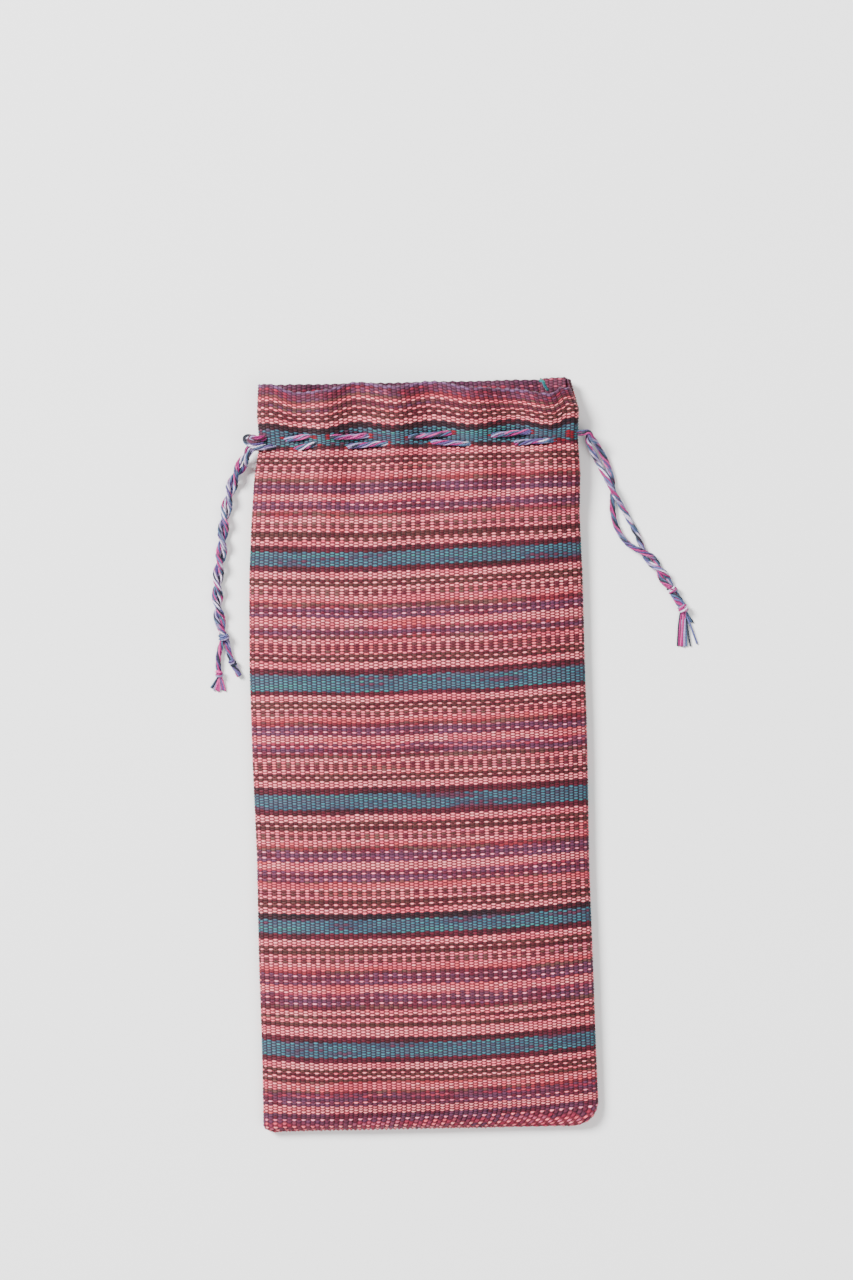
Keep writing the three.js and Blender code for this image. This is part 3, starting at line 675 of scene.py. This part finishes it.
def inner_faces(fine_at, coarse_at):
    """Faces from the last fine row of the inner face to the closed end, and along the cut edges"""
    faces = grid_faces(coarse_at).tolist()
    for i in range(coarse_at.shape[1] - 1):
        cells = slice(i * INNER_STEP, (i + 1) * INNER_STEP + 1)
        faces.append([*fine_at[-1, cells], coarse_at[0, i + 1], coarse_at[0, i]])
        faces.append([*fine_at[0, cells][::-1], coarse_at[-1, i], coarse_at[-1, i + 1]])
    for side in (0, -1):
        outer, lining = fine_at[:THREADS + 1, side], fine_at[THREADS + 2:, side]
        edge = [[outer[-1], fine_at[THREADS + 1, side], lining[0]]]
        for i in range(LINING_THREADS):
            top = THREADS - i
            edge.append([outer[top - 1], outer[top], lining[i], lining[i + 1]])
        inner = [lining[-1], *coarse_at[:, side]]
        for i in range(len(inner) - 1):
            top = THREADS - LINING_THREADS - i * INNER_STEP
            edge.append([*outer[top - INNER_STEP:top + 1], inner[i], inner[i + 1]])
        faces += [corners[::-1] for corners in edge] if side else edge
    return [[int(corner) for corner in corners] for corners in faces]


# Cords

def run_along(points):
    """Length along a line of points up to each of them"""
    return np.concatenate([[0.0], np.cumsum(np.linalg.norm(np.diff(points, axis=0), axis=1))])


def curve_points(points, step):
    """Even points along a smooth curve through the given ones"""
    points = np.asarray(points, float)
    padded = np.vstack([2 * points[0] - points[1], points, 2 * points[-1] - points[-2]])
    gaps = np.maximum(np.linalg.norm(np.diff(padded, axis=0), axis=1), 1e-6) ** 0.5
    knots = np.concatenate([[0.0], np.cumsum(gaps)])
    share = np.linspace(0.0, 1.0, CURVE_STEPS, endpoint=False)[:, None]
    dense = []
    for i in range(1, len(padded) - 2):
        times, near = knots[i - 1:i + 3], padded[i - 1:i + 3]
        t = times[1] + share * (times[2] - times[1])
        for spans in CURVE_LEVELS:
            near = [
                ((times[b] - t) * near[k] + (t - times[a]) * near[k + 1]) / (times[b] - times[a])
                for k, (a, b) in enumerate(spans)
            ]
        dense.append(near[0])
    dense = np.vstack(dense + [points[-1:]])
    run = run_along(dense)
    even = np.linspace(0.0, run[-1], max(int(round(run[-1] / step)), 4) + 1)
    return np.stack([np.interp(even, run, column) for column in dense.T], axis=1)


def side_directions(points):
    """Two directions square to a curve, carried along it without twisting"""
    tangents = np.gradient(points, axis=0)
    tangents /= np.linalg.norm(tangents, axis=1, keepdims=True)
    first = np.zeros_like(points)
    start = np.cross(tangents[0], (0.0, 0.0, 1.0))
    if np.linalg.norm(start) < 0.1:
        start = np.cross(tangents[0], (0.0, 1.0, 0.0))
    first[0] = start / np.linalg.norm(start)
    for i in range(1, len(points)):
        carried = first[i - 1] - tangents[i] * np.dot(first[i - 1], tangents[i])
        first[i] = carried / np.linalg.norm(carried)
    return first, np.cross(tangents, first)


def strand_threads(points, dyes_round, rng, width=CORD, start=0.0, slow=1.0, mixed=True):
    """The threads of one cord: some twisted round the middle, and one down it"""
    cords = bpy.context.scene.pouch_cords
    names = dyes_round.split()
    first, second = side_directions(points)
    run = run_along(points)
    radius = cords.thread / MM / 2.0
    reach = width / 2.0 + CORD_SLACK - radius
    threads = []
    count = len(names)
    for i, name in enumerate(names):
        sway = cords.looseness * np.sin(math.tau * run / rng.uniform(5.0, 9.0) + rng.uniform(0.0, 6.28))
        turn = start + i / count - run / (slow * cords.twist / MM)
        angle = math.tau * turn + 1.6 * sway
        out = reach * (1.0 + 0.7 * sway)[:, None]
        line = points + out * (np.cos(angle)[:, None] * first + np.sin(angle)[:, None] * second)
        if mixed:
            name = f"{name} {names[(i + 2) % count]} {name} {names[(i + 3) % count]}"
        threads.append((line, radius * rng.uniform(0.88, 1.1), name))
    threads.append((points, max(reach - radius, radius) * 0.95, names[2]))
    return threads


def dye_along(run, names, rng):
    """Colour along a thread that was dyed in several baths: it changes from one dye to the next"""
    tints = tones(names)
    place = np.sin(math.tau * run / rng.uniform(22.0, 40.0) + rng.uniform(0.0, 6.28))
    place = (0.5 + 0.5 * place) * (len(tints) - 1)
    low = np.minimum(place.astype(int), len(tints) - 1)
    high = np.minimum(low + 1, len(tints) - 1)
    share = smooth_share(place - low, 0.3, 0.7)[:, None]
    return tints[low] * (1.0 - share) + tints[high] * share


def lay_threads(name, threads, *nodes):
    """One piece of many threads, each a closed tube with its own dye"""
    rng = np.random.default_rng(SEED + sum(map(ord, name)))
    points, faces, colours, lay = [], [], [], []
    start = 0
    around = np.arange(TUBE_SIDES) / TUBE_SIDES
    angles = math.tau * around[None, :, None]
    for line, radius, names in threads:
        first, second = side_directions(line)
        count = len(line)
        taper = np.ones((count, 1, 1))
        taper[[0, -1]] = CUT_END
        ring = np.cos(angles) * first[:, None] + np.sin(angles) * second[:, None]
        body = line[:, None] + radius * taper * ring
        body[..., 2] = np.maximum(body[..., 2], LOWEST)
        points.append(body.reshape(-1, 3))
        at = start + np.arange(count * TUBE_SIDES).reshape(count, TUBE_SIDES)
        faces += grid_faces(np.hstack([at, at[:, :1]])).tolist()
        faces += [at[0, ::-1].tolist(), at[-1].tolist()]
        run = run_along(line)
        wave = np.sin(run / rng.uniform(1.2, 2.4) + rng.uniform(0.0, 6.28))
        shade = 1.0 + 0.14 * wave * rng.uniform(0.3, 1.0)
        tone = dye_along(run, names, rng) * rng.uniform(0.86, 1.12)
        colours.append(np.repeat(np.clip(shade[:, None] * tone, 0.0, 1.0), TUBE_SIDES, axis=0))
        places = np.broadcast_arrays(run[:, None], around, start % 97)
        lay.append(np.stack(places, axis=-1).reshape(-1, 3))
        start += count * TUBE_SIDES
    piece = add_piece(name, np.vstack(points), faces, shared(twisted_cotton), "cord", *nodes)
    set_colours(piece, "yarn", np.vstack(colours), "POINT")
    set_vectors(piece, "lay", np.vstack(lay))
    return piece


def thread_point(x, y, is_front, side):
    """A point of a threaded cord: side is 1 outside the wall, -1 inside it and 0 in it"""
    front, back = walls_at(x, y)
    out = side * CORD_CLEAR - WALL / 2
    return (x, y, float(front + out if is_front else back - out))


def stitch_points(stitches, y, is_front):
    points = []
    for stitch in stitches:
        start, end = stitch[:2]
        places = [(start - PASS, -1), (start, 0), (start + PASS, 1)]
        if end - start > LONG_STITCH:
            places.append(((start + end) / 2, 1))
        places += [(end - PASS, 1), (end, 0), (end + PASS, -1)]
        points += [thread_point(x, y + stitch_rise(stitch, x), is_front, side) for x, side in places]
    return points


def turn_points(y, direction):
    """The turn from the front wall to the back wall inside the bag"""
    x = direction * TURN_X
    front, back = (thread_point(x, y, is_front, -1) for is_front in (True, False))
    middle = (x + direction * (front[2] - back[2]) / 2, y, (front[2] + back[2]) / 2)
    return [front, middle, back]


def left_thread():
    left, _, edge, _, lift, _ = section_at(LEFT_ROW_Y)
    edge_round = edge / 2
    reach = edge_round - WALL / 2 + CORD_CLEAR
    over_edge = []
    for degrees in OVER_EDGE_DEGREES:
        angle = math.radians(degrees)
        x = edge_round - left - reach * math.cos(angle)
        over_edge.append((x, LEFT_ROW_Y, lift + edge_round + reach * math.sin(angle)))
    return [
        *over_edge,
        thread_point(LEFT_LAST_PASS_X, LEFT_ROW_Y, True, 0),
        thread_point(LEFT_LAST_PASS_X + PASS, LEFT_ROW_Y, True, -1),
        *stitch_points(LEFT_STITCHES, LEFT_ROW_Y, True),
        *turn_points(LEFT_ROW_Y, 1),
        *stitch_points(BACK_STITCHES, LEFT_ROW_Y, False)[::-1],
        *[(-left + run, LEFT_ROW_Y, LEFT_HOLE_Z) for run in (2 * PASS, 0.0, -EXIT_RUN)],
    ]


def right_thread():
    side = section_at(RIGHT_ROW_Y)[1]
    runs = (EXIT_RUN, 0.0, -2 * PASS)
    return [
        *[(side + run, RIGHT_ROW_Y, RIGHT_HOLE_FRONT_Z) for run in runs],
        *stitch_points(RIGHT_STITCHES, RIGHT_ROW_Y, True)[::-1],
        *turn_points(RIGHT_ROW_Y, -1),
        *stitch_points(BACK_STITCHES, RIGHT_ROW_Y, False),
        *[(side + run, RIGHT_ROW_Y, RIGHT_HOLE_BACK_Z) for run in runs[::-1]],
    ]


def tail_points(rows, strand, thread_end, before_end):
    """One end of a drawstring, which turns round the other: strand is 1 in front and -1 at the back"""
    thread_end, before_end = np.array(thread_end, float), np.array(before_end, float)
    outward = (thread_end - before_end) / np.linalg.norm(thread_end - before_end)
    points = [thread_end + outward * run for run in (-OVERLAP, LEAD)]
    middles = curve_points(rows[:, :3], 0.8)
    run = run_along(rows[:, :3])
    place = np.linspace(0.0, run[-1], len(middles))
    spread = np.interp(place, run, rows[:, 3])
    angle = math.tau * np.interp(place, run, rows[:, 4])
    heading = np.gradient(middles[:, :2], axis=0)
    heading /= np.linalg.norm(heading, axis=1, keepdims=True)
    aside = strand * spread * np.cos(angle)
    middles[:, 0] += heading[:, 1] * aside
    middles[:, 1] -= heading[:, 0] * aside
    middles[:, 2] += CORD / 2 + FLOOR_CLEAR + spread * (np.abs(np.sin(angle)) + strand * np.sin(angle))
    return np.vstack([points, middles])


# Materials

class Finish:
    """A new material, and short calls that add its nodes"""

    def __init__(self, name):
        self.material = bpy.data.materials.new(name)
        self.material.use_nodes = True
        self.tree = self.material.node_tree
        self.tree.nodes.clear()
        output = self.tree.nodes.new("ShaderNodeOutputMaterial")
        self.shader = self.tree.nodes.new("ShaderNodeBsdfPrincipled")
        self.tree.links.new(self.shader.outputs["BSDF"], output.inputs["Surface"])

    def fill(self, node, values):
        """Link or set the inputs of a node"""
        for key, value in values.items():
            if isinstance(value, bpy.types.NodeSocket):
                self.tree.links.new(value, node.inputs[key])
            else:
                node.inputs[key].default_value = value

    def add(self, kind, values, **settings):
        node = self.tree.nodes.new("ShaderNode" + kind)
        for name, value in settings.items():
            setattr(node, name, value)
        self.fill(node, values)
        return node.outputs

    def maths(self, operation, *values):
        return self.add("Math", dict(enumerate(values)), operation=operation)[0]

    def attribute(self, name, output):
        return self.add("Attribute", {}, attribute_name=name)[output]

    def split(self, vector):
        return self.add("SeparateXYZ", {0: vector})

    def join(self, *values):
        return self.add("CombineXYZ", dict(enumerate(values)))[0]

    def noise(self, vector, scale, detail):
        return self.add("TexNoise", {"Vector": vector, "Scale": scale, "Detail": detail})[0]

    def span(self, value, low, high, to_low, to_high):
        values = dict(enumerate((value, low, high, to_low, to_high)))
        return self.add("MapRange", values, interpolation_type="SMOOTHSTEP")[0]

    def tint(self, kind, share, first, second):
        return self.add("Mix", {0: share, 6: first, 7: second}, data_type="RGBA", blend_type=kind)[2]

    def bump(self, height, strength, distance):
        return self.add("Bump", {"Height": height, "Strength": strength, "Distance": distance})[0]

    def oval(self, up, aside):
        """Grows from 0 at the middle of a float to 1 at its outline: it reaches a little past its rib"""
        flat = self.maths("MULTIPLY", self.maths("MULTIPLY", aside, aside), 3.0)
        return self.maths("MULTIPLY_ADD", self.maths("MULTIPLY", up, up), 9.5, flat)


def woven_cotton():
    """Rib-weave cotton: each thread rounds over its rib, and the gaps get painted shade mixed with the red
    weft that shows there
    """
    crevice = bpy.context.scene.pouch_cloth.crevice
    finish = Finish("woven_cotton")
    maths, span, tint = finish.maths, finish.span, finish.tint
    yarn = finish.attribute("yarn", "Color")
    place = finish.split(finish.attribute("weave", "Vector"))
    rib = maths("FLOOR", place[0])
    side = maths("SUBTRACT", maths("FRACT", place[0]), 0.5)
    lane = maths("MULTIPLY_ADD", maths("SUBTRACT", place[1], rib), 0.5, 0.5)
    lane = maths("SUBTRACT", maths("FRACT", lane), 0.5)
    over_rib = maths("COSINE", maths("MULTIPLY", side, math.pi * 0.94))
    over_thread = maths("COSINE", maths("MULTIPLY", lane, math.pi * 0.96))
    roundness = maths("POWER", maths("MULTIPLY", over_rib, over_thread), 0.6)
    slant = maths("MULTIPLY_ADD", lane, 1.3, maths("MULTIPLY", place[0], 2.2))
    fibres = finish.noise(finish.join(slant, maths("MULTIPLY", place[1], 2.6), rib), 1.0, 2.0)
    uneven = span(fibres, 0.3, 0.7, 0.82, 1.14)
    bent = maths("MULTIPLY_ADD", maths("SUBTRACT", fibres, 0.5), 0.3, lane)
    away = maths("ABSOLUTE", side)
    own = finish.oval(bent, away)
    past = maths("SUBTRACT", 0.5, maths("ABSOLUTE", bent))
    other = finish.oval(past, maths("SUBTRACT", 1.0, away))
    mine = span(maths("SUBTRACT", other, own), -0.2, 0.2, 0.0, 1.0)
    yarn = tint("MIX", mine, finish.attribute("beside", "Color"), yarn)
    shape = span(maths("MINIMUM", own, other), 0.12, 0.92, 1.0, 0.0)
    red, _, blue = finish.split(yarn)
    pale = span(red, 0.1, 0.5, 0.0, 1.0)
    cool = span(maths("SUBTRACT", blue, red), 0.01, 0.07, 0.0, 0.9 * crevice)
    # Painted shade in the gaps between floats: the yarn is darkened there, the red weft that shows is
    # darkened as if deep in shade, and cool yarns take a painted teal and violet shadow
    crimson, olive, teal, violet = tones("crimson olive teal_deep violet")
    weft = (*(crimson * 0.35 + olive * 0.17).tolist(), 1.0)
    shadow = (*(teal * 0.25 + violet * 0.25).tolist(), 1.0)
    shaded_gap = tint("MULTIPLY", crevice, yarn, (0.56, 0.52, 0.56, 1.0))
    shaded_gap = tint("MIX", maths("MULTIPLY", pale, 0.9 * crevice), shaded_gap, weft)
    shaded_gap = tint("MIX", cool, shaded_gap, shadow)
    shade = tint("MIX", shape, shaded_gap, yarn)
    # Painted shade in the furrows between ribs: each float darkens towards its rib's edges, less on pale
    # yarn; the fibre noise adds uneven tone
    furrow_shade = span(away, 0.3, 0.5, 1.0, span(pale, 0.0, 1.0, 0.46, 0.66))
    uneven = maths("MULTIPLY", uneven, furrow_shade)
    height = maths("MULTIPLY_ADD", fibres, 0.16, roundness)
    finish.fill(finish.shader, {
        "Base Color": tint("MULTIPLY", 1.0, shade, uneven),
        "Normal": finish.bump(height, 0.75, 0.00028),
        "Roughness": 0.62, "Specular IOR Level": 0.18, "Sheen Weight": 0.08, "Sheen Roughness": 0.45,
    })
    return finish.material


def twisted_cotton():
    """Cotton thread: fine plies wind round it, in uneven dye, with painted shade in the grooves between
    them
    """
    finish = Finish("twisted_cotton")
    maths, span = finish.maths, finish.span
    yarn = finish.attribute("yarn", "Color")
    place = finish.split(finish.attribute("lay", "Vector"))
    ply = maths("MULTIPLY_ADD", place[0], 1.1, maths("MULTIPLY", place[1], 2.0))
    wave = maths("SINE", maths("MULTIPLY", ply, math.tau))
    fibres = finish.noise(finish.join(maths("MULTIPLY", place[0], 2.0), ply, place[2]), 2.4, 3.0)
    # Painted shade in the grooves between plies; light is the fibre tone times this shade
    furrow_shade = span(wave, -1.0, 0.2, 0.72, 1.0)
    light = maths("MULTIPLY", span(fibres, 0.28, 0.72, 0.78, 1.16), furrow_shade)
    height = maths("MULTIPLY_ADD", fibres, 0.5, maths("MULTIPLY", wave, 0.5))
    finish.fill(finish.shader, {
        "Base Color": finish.tint("MULTIPLY", 1.0, yarn, light),
        "Normal": finish.bump(height, 0.6, 0.00012),
        "Roughness": 0.6, "Specular IOR Level": 0.2, "Sheen Weight": 0.12, "Sheen Roughness": 0.4,
    })
    return finish.material


def pale_table():
    finish = Finish("pale_table")
    grain = finish.noise(finish.add("TexCoord", {})["Object"], 900.0, 3.0)
    finish.fill(finish.shader, {
        "Base Color": (0.93, 0.93, 0.93, 1.0),
        "Roughness": finish.span(grain, 0.3, 0.7, 0.75, 0.85),
        "Specular IOR Level": 0.15,
    })
    return finish.material


def shared(make):
    """A material that pieces share: it is made when it is first needed"""
    return bpy.data.materials.get(make.__name__) or make()


# Steps

class POUCH_OT_stage(bpy.types.Operator):
    """Lay the pale table, light it and set the camera above it"""

    bl_idname = "pouch.stage"
    bl_label = "Table, light and camera"

    def execute(self, context):
        stage = context.scene.pouch_stage
        camera_data = bpy.data.cameras.new("camera")
        camera_data.lens = stage.lens
        x, y = (value * MM for value in VIEW_CENTRE)
        camera = self.put("camera", camera_data, (x, y, SUBJECT_Z * MM + stage.camera_height))
        camera.rotation_euler = (0.0, 0.0, VIEW_TURN)
        context.scene.camera = camera

        mesh = bpy.data.meshes.new("table")
        corners = [(TABLE_HALF * x, TABLE_HALF * y, 0.0) for x, y in ((-1, -1), (1, -1), (1, 1), (-1, 1))]
        mesh.from_pydata(corners, [], [(0, 1, 2, 3)])
        mesh.materials.append(shared(pale_table))
        self.put("table", mesh, (0.0, 0.0, TABLE_Z * MM))

        for name, place, share, size in LIGHTS:
            self.add_light(name, place, stage.key * share, size)
        world = bpy.data.worlds.new("studio")
        world.use_nodes = True
        background = world.node_tree.nodes["Background"]
        background.inputs["Color"].default_value = (1.0, 1.0, 1.0, 1.0)
        background.inputs["Strength"].default_value = stage.fill
        context.scene.world = world
        return {"FINISHED"}

    def put(self, name, data, place):
        thing = bpy.data.objects.new(name, data)
        thing.location = place
        bpy.context.scene.collection.objects.link(thing)
        return thing

    def add_light(self, name, place, power, size):
        data = bpy.data.lights.new(name, "AREA")
        data.energy = power
        data.shape = "DISK"
        data.size = size
        light = self.put(name, data, place)
        light.rotation_euler = (-light.location.normalized()).to_track_quat("-Z", "Y").to_euler()


class POUCH_OT_ends(bpy.types.Operator):
    """Twist the two ends of each drawstring and lay them on the table, with their knots and tassels"""

    bl_idname = "pouch.ends"
    bl_label = "Cord ends, knots and tassels"

    def execute(self, context):
        rng = np.random.default_rng(SEED)
        for node, diameter, points, names in SHORT_CORDS:
            line = curve_points([(x, y, diameter / 2 + FLOOR_CLEAR) for x, y in points], 0.3)
            threads = strand_threads(line, names, rng, diameter, mixed=False)
            lay_threads(node + "_cord", threads, node)
        for node, *knot in KNOTS:
            lay_threads(node + "_wraps", self.tie_knot(*knot, rng), node)
        for node, head, locks in TASSELS:
            lay_threads(node + "_threads", self.tie_tassel(head, locks, rng), node)

        routes = (("left", LEFT_TAIL, left_thread()), ("right", RIGHT_TAIL, right_thread()))
        for side, rows, thread in routes:
            ends = {"front": (1, thread[0], thread[1]), "back": (-1, thread[-1], thread[-2])}
            for wall, end in ends.items():
                line = curve_points(tail_points(rows, *end), 0.4)
                threads = strand_threads(line, STRAND_DYES[f"{side}_{wall}"], rng)
                piece = lay_threads(f"{side}_{wall}_end", threads, f"{side}_tail_{wall}")
                float(run_along(line)[-1]) * MM
        return {"FINISHED"}

    def tie_knot(self, x, y, heading, radius, names, rng):
        """A strand wound twice round the cords that it holds"""
        angle = math.radians(heading)
        ahead = np.array((math.cos(angle), math.sin(angle), 0.0))
        aside = np.array((-ahead[1], ahead[0], 0.0))
        up = np.array((0.0, 0.0, 1.0))
        turns = np.linspace(-0.95, 0.95, 60)[:, None]
        spin = math.tau * turns
        run = 0.85 * KNOT_STRAND * turns + 0.3 * np.sin(spin + 0.8)
        reach = radius - KNOT_STRAND / 2.0
        wound = reach * (np.cos(spin) * aside + 0.92 * np.sin(spin) * up)
        line = np.array((x, y, radius)) + run * ahead + wound
        return strand_threads(line, names, rng, KNOT_STRAND, mixed=False)

    def tie_tassel(self, head, locks, rng):
        """Loose threads that lie on the table from the last knot to their cut ends"""
        thick = bpy.context.scene.pouch_cords.thread / MM / 2.0 * 0.95
        threads = []
        for tip, names in locks:
            names = names.split()
            for i, name in enumerate(names):
                share = i - (len(names) - 1) / 2
                start = np.array((head[0] + share * 0.3, head[1], thick * 3.0 + rng.uniform(-0.2, 0.3)))
                end_y = tip[1] + rng.uniform(-0.25, 0.35)
                end = np.array((tip[0] + share * thick * 1.7, end_y, thick * 1.1))
                bend = np.array((rng.uniform(-0.25, 0.25), 0.0, 0.0))
                rise = np.array((0.0, 0.0, thick * (0.4 + 1.2 * (i % 2))))
                line = [start, start * 0.62 + end * 0.38 + bend + rise * 0.6,
                        start * 0.28 + end * 0.72 + bend * 0.6 + rise * 0.4, end]
                threads.append((curve_points(line, 0.35), thick * rng.uniform(0.85, 1.1), name))
        return threads


class POUCH_OT_drawstrings(bpy.types.Operator):
    """Thread the drawstrings round the bag in running stitches"""

    bl_idname = "pouch.drawstrings"
    bl_label = "Drawstrings"

    def execute(self, context):
        rng = np.random.default_rng(SEED + 2)
        for side, route in (("left", left_thread()), ("right", right_thread())):
            line = curve_points(route, 0.5)
            threads = strand_threads(line, STRAND_DYES[f"{side}_front"], rng, start=0.3, slow=1.25)
            if side == "left":
                for strand, points in LEFT_BIGHT:
                    threads += strand_threads(curve_points(points, 0.35), STRAND_DYES[strand], rng)
            lay_threads(f"{side}_drawstring_stitches", threads, f"{side}_drawstring")
        return {"FINISHED"}


class POUCH_OT_cloth(bpy.types.Operator):
    """Weave the two walls of the bag"""

    bl_idname = "pouch.cloth"
    bl_label = "Woven bag"

    def execute(self, context):
        cloth = context.scene.pouch_cloth
        back = weave_wall("back_wall", False, cloth)
        front = weave_wall("front_wall", True, cloth)
        return {"FINISHED"}


class POUCH_OT_seam(bpy.types.Operator):
    """Fold the seam allowance in at the mouth's right end, with its loose sewing thread"""

    bl_idname = "pouch.seam"
    bl_label = "Seam allowance"

    def execute(self, context):
        rng = np.random.default_rng(SEED + 3)
        column = np.arange(2 * SEAM_RIBS + 1)[None, :]
        row = np.arange(LINING_THREADS + 1)[:, None]
        xs, ys = np.meshgrid(
            SEAM_X + np.linspace(-SEAM_WIDTH / 2, SEAM_WIDTH / 2, column.size),
            SEAM_END_Y - SEAM_LENGTH + np.linspace(0.0, SEAM_LENGTH, row.size),
        )
        middle = walls_at(xs, np.minimum(ys, MOUTH_Y))[1] + WALL * 1.5 + SEAM_GAP
        on_top = (row + column // 2) % 2 == 0
        relief = np.where(column % 2 == 1, np.where(on_top, 0.1, -0.1), -0.3)
        ys = ys + rng.uniform(-0.2, 0.2, xs.shape) * (row == LINING_THREADS)
        half = context.scene.pouch_cloth.thickness / MM / 2
        sides = [np.stack([xs, ys, z], axis=-1) for z in (middle + half + relief, middle - half)]

        dark, pale = tones("plum lilac_pink")
        share = rng.uniform(0.0, 0.15, (row.size, SEAM_RIBS, 1))
        share[::5] = rng.uniform(0.3, 0.8, share[::5].shape)
        floats = lay_floats(dark * (1.0 - share) + pale * share, row[:, 0])
        count = xs.size
        upper = np.arange(count).reshape(xs.shape)
        quads = grid_faces(upper)
        border = np.concatenate([upper[0], upper[1:, -1], upper[-1, -2::-1], upper[-2:0:-1, 0]])
        after = np.roll(border, -1)
        rim = np.stack([after, border, border + count, after + count], axis=-1)
        faces = np.vstack([quads, quads[:, ::-1] + count, rim]).tolist()
        points = np.concatenate(sides).reshape(-1, 3)
        edge = np.tile(dark, (len(rim), 1))
        weave = np.stack(np.broadcast_arrays(column / 2.0, row, 0.0), axis=-1)
        piece = add_cloth(
            "seam_fold", "seam_allowance", points, faces, np.tile(floats, (1, 2, 1)), edge, [weave, weave],
        )
        loose = strand_threads(curve_points(SEWING_END, 0.25), "teal teal_green teal_deep", rng, width=0.9)
        lay_threads("sewing_thread_end", loose)
        return {"FINISHED"}


class POUCH_PT_steps(bpy.types.Panel):
    """The pouch's pieces, in the order in which they are made"""

    bl_idname = "POUCH_PT_steps"
    bl_label = "Striped pouch"
    bl_space_type = "VIEW_3D"
    bl_region_type = "UI"
    bl_category = "Pouch"

    def draw(self, context):
        layout = self.layout
        for step in STEPS:
            layout.operator(step.bl_idname)
        for name in SETTINGS:
            group = getattr(context.scene, name)
            box = layout.box()
            for key in group.__annotations__:
                box.prop(group, key)


STEPS = (POUCH_OT_stage, POUCH_OT_ends, POUCH_OT_drawstrings, POUCH_OT_cloth, POUCH_OT_seam)
SETTINGS = {
    "pouch_dyes": PouchDyes,
    "pouch_cloth": PouchCloth,
    "pouch_cords": PouchCords,
    "pouch_stage": PouchStage,
}
CLASSES = (*SETTINGS.values(), *STEPS, POUCH_PT_steps)


def register():
    for kind in CLASSES:
        bpy.utils.register_class(kind)
    for name, kind in SETTINGS.items():
        setattr(bpy.types.Scene, name, PointerProperty(type=kind))


def unregister():
    for name in SETTINGS:
        delattr(bpy.types.Scene, name)
    for kind in reversed(CLASSES):
        bpy.utils.unregister_class(kind)


def main():
    register()
    bpy.ops.pouch.stage()
    bpy.ops.pouch.ends()
    bpy.ops.pouch.drawstrings()
    bpy.ops.pouch.cloth()
    bpy.ops.pouch.seam()


if __name__ == "__main__":
    main()
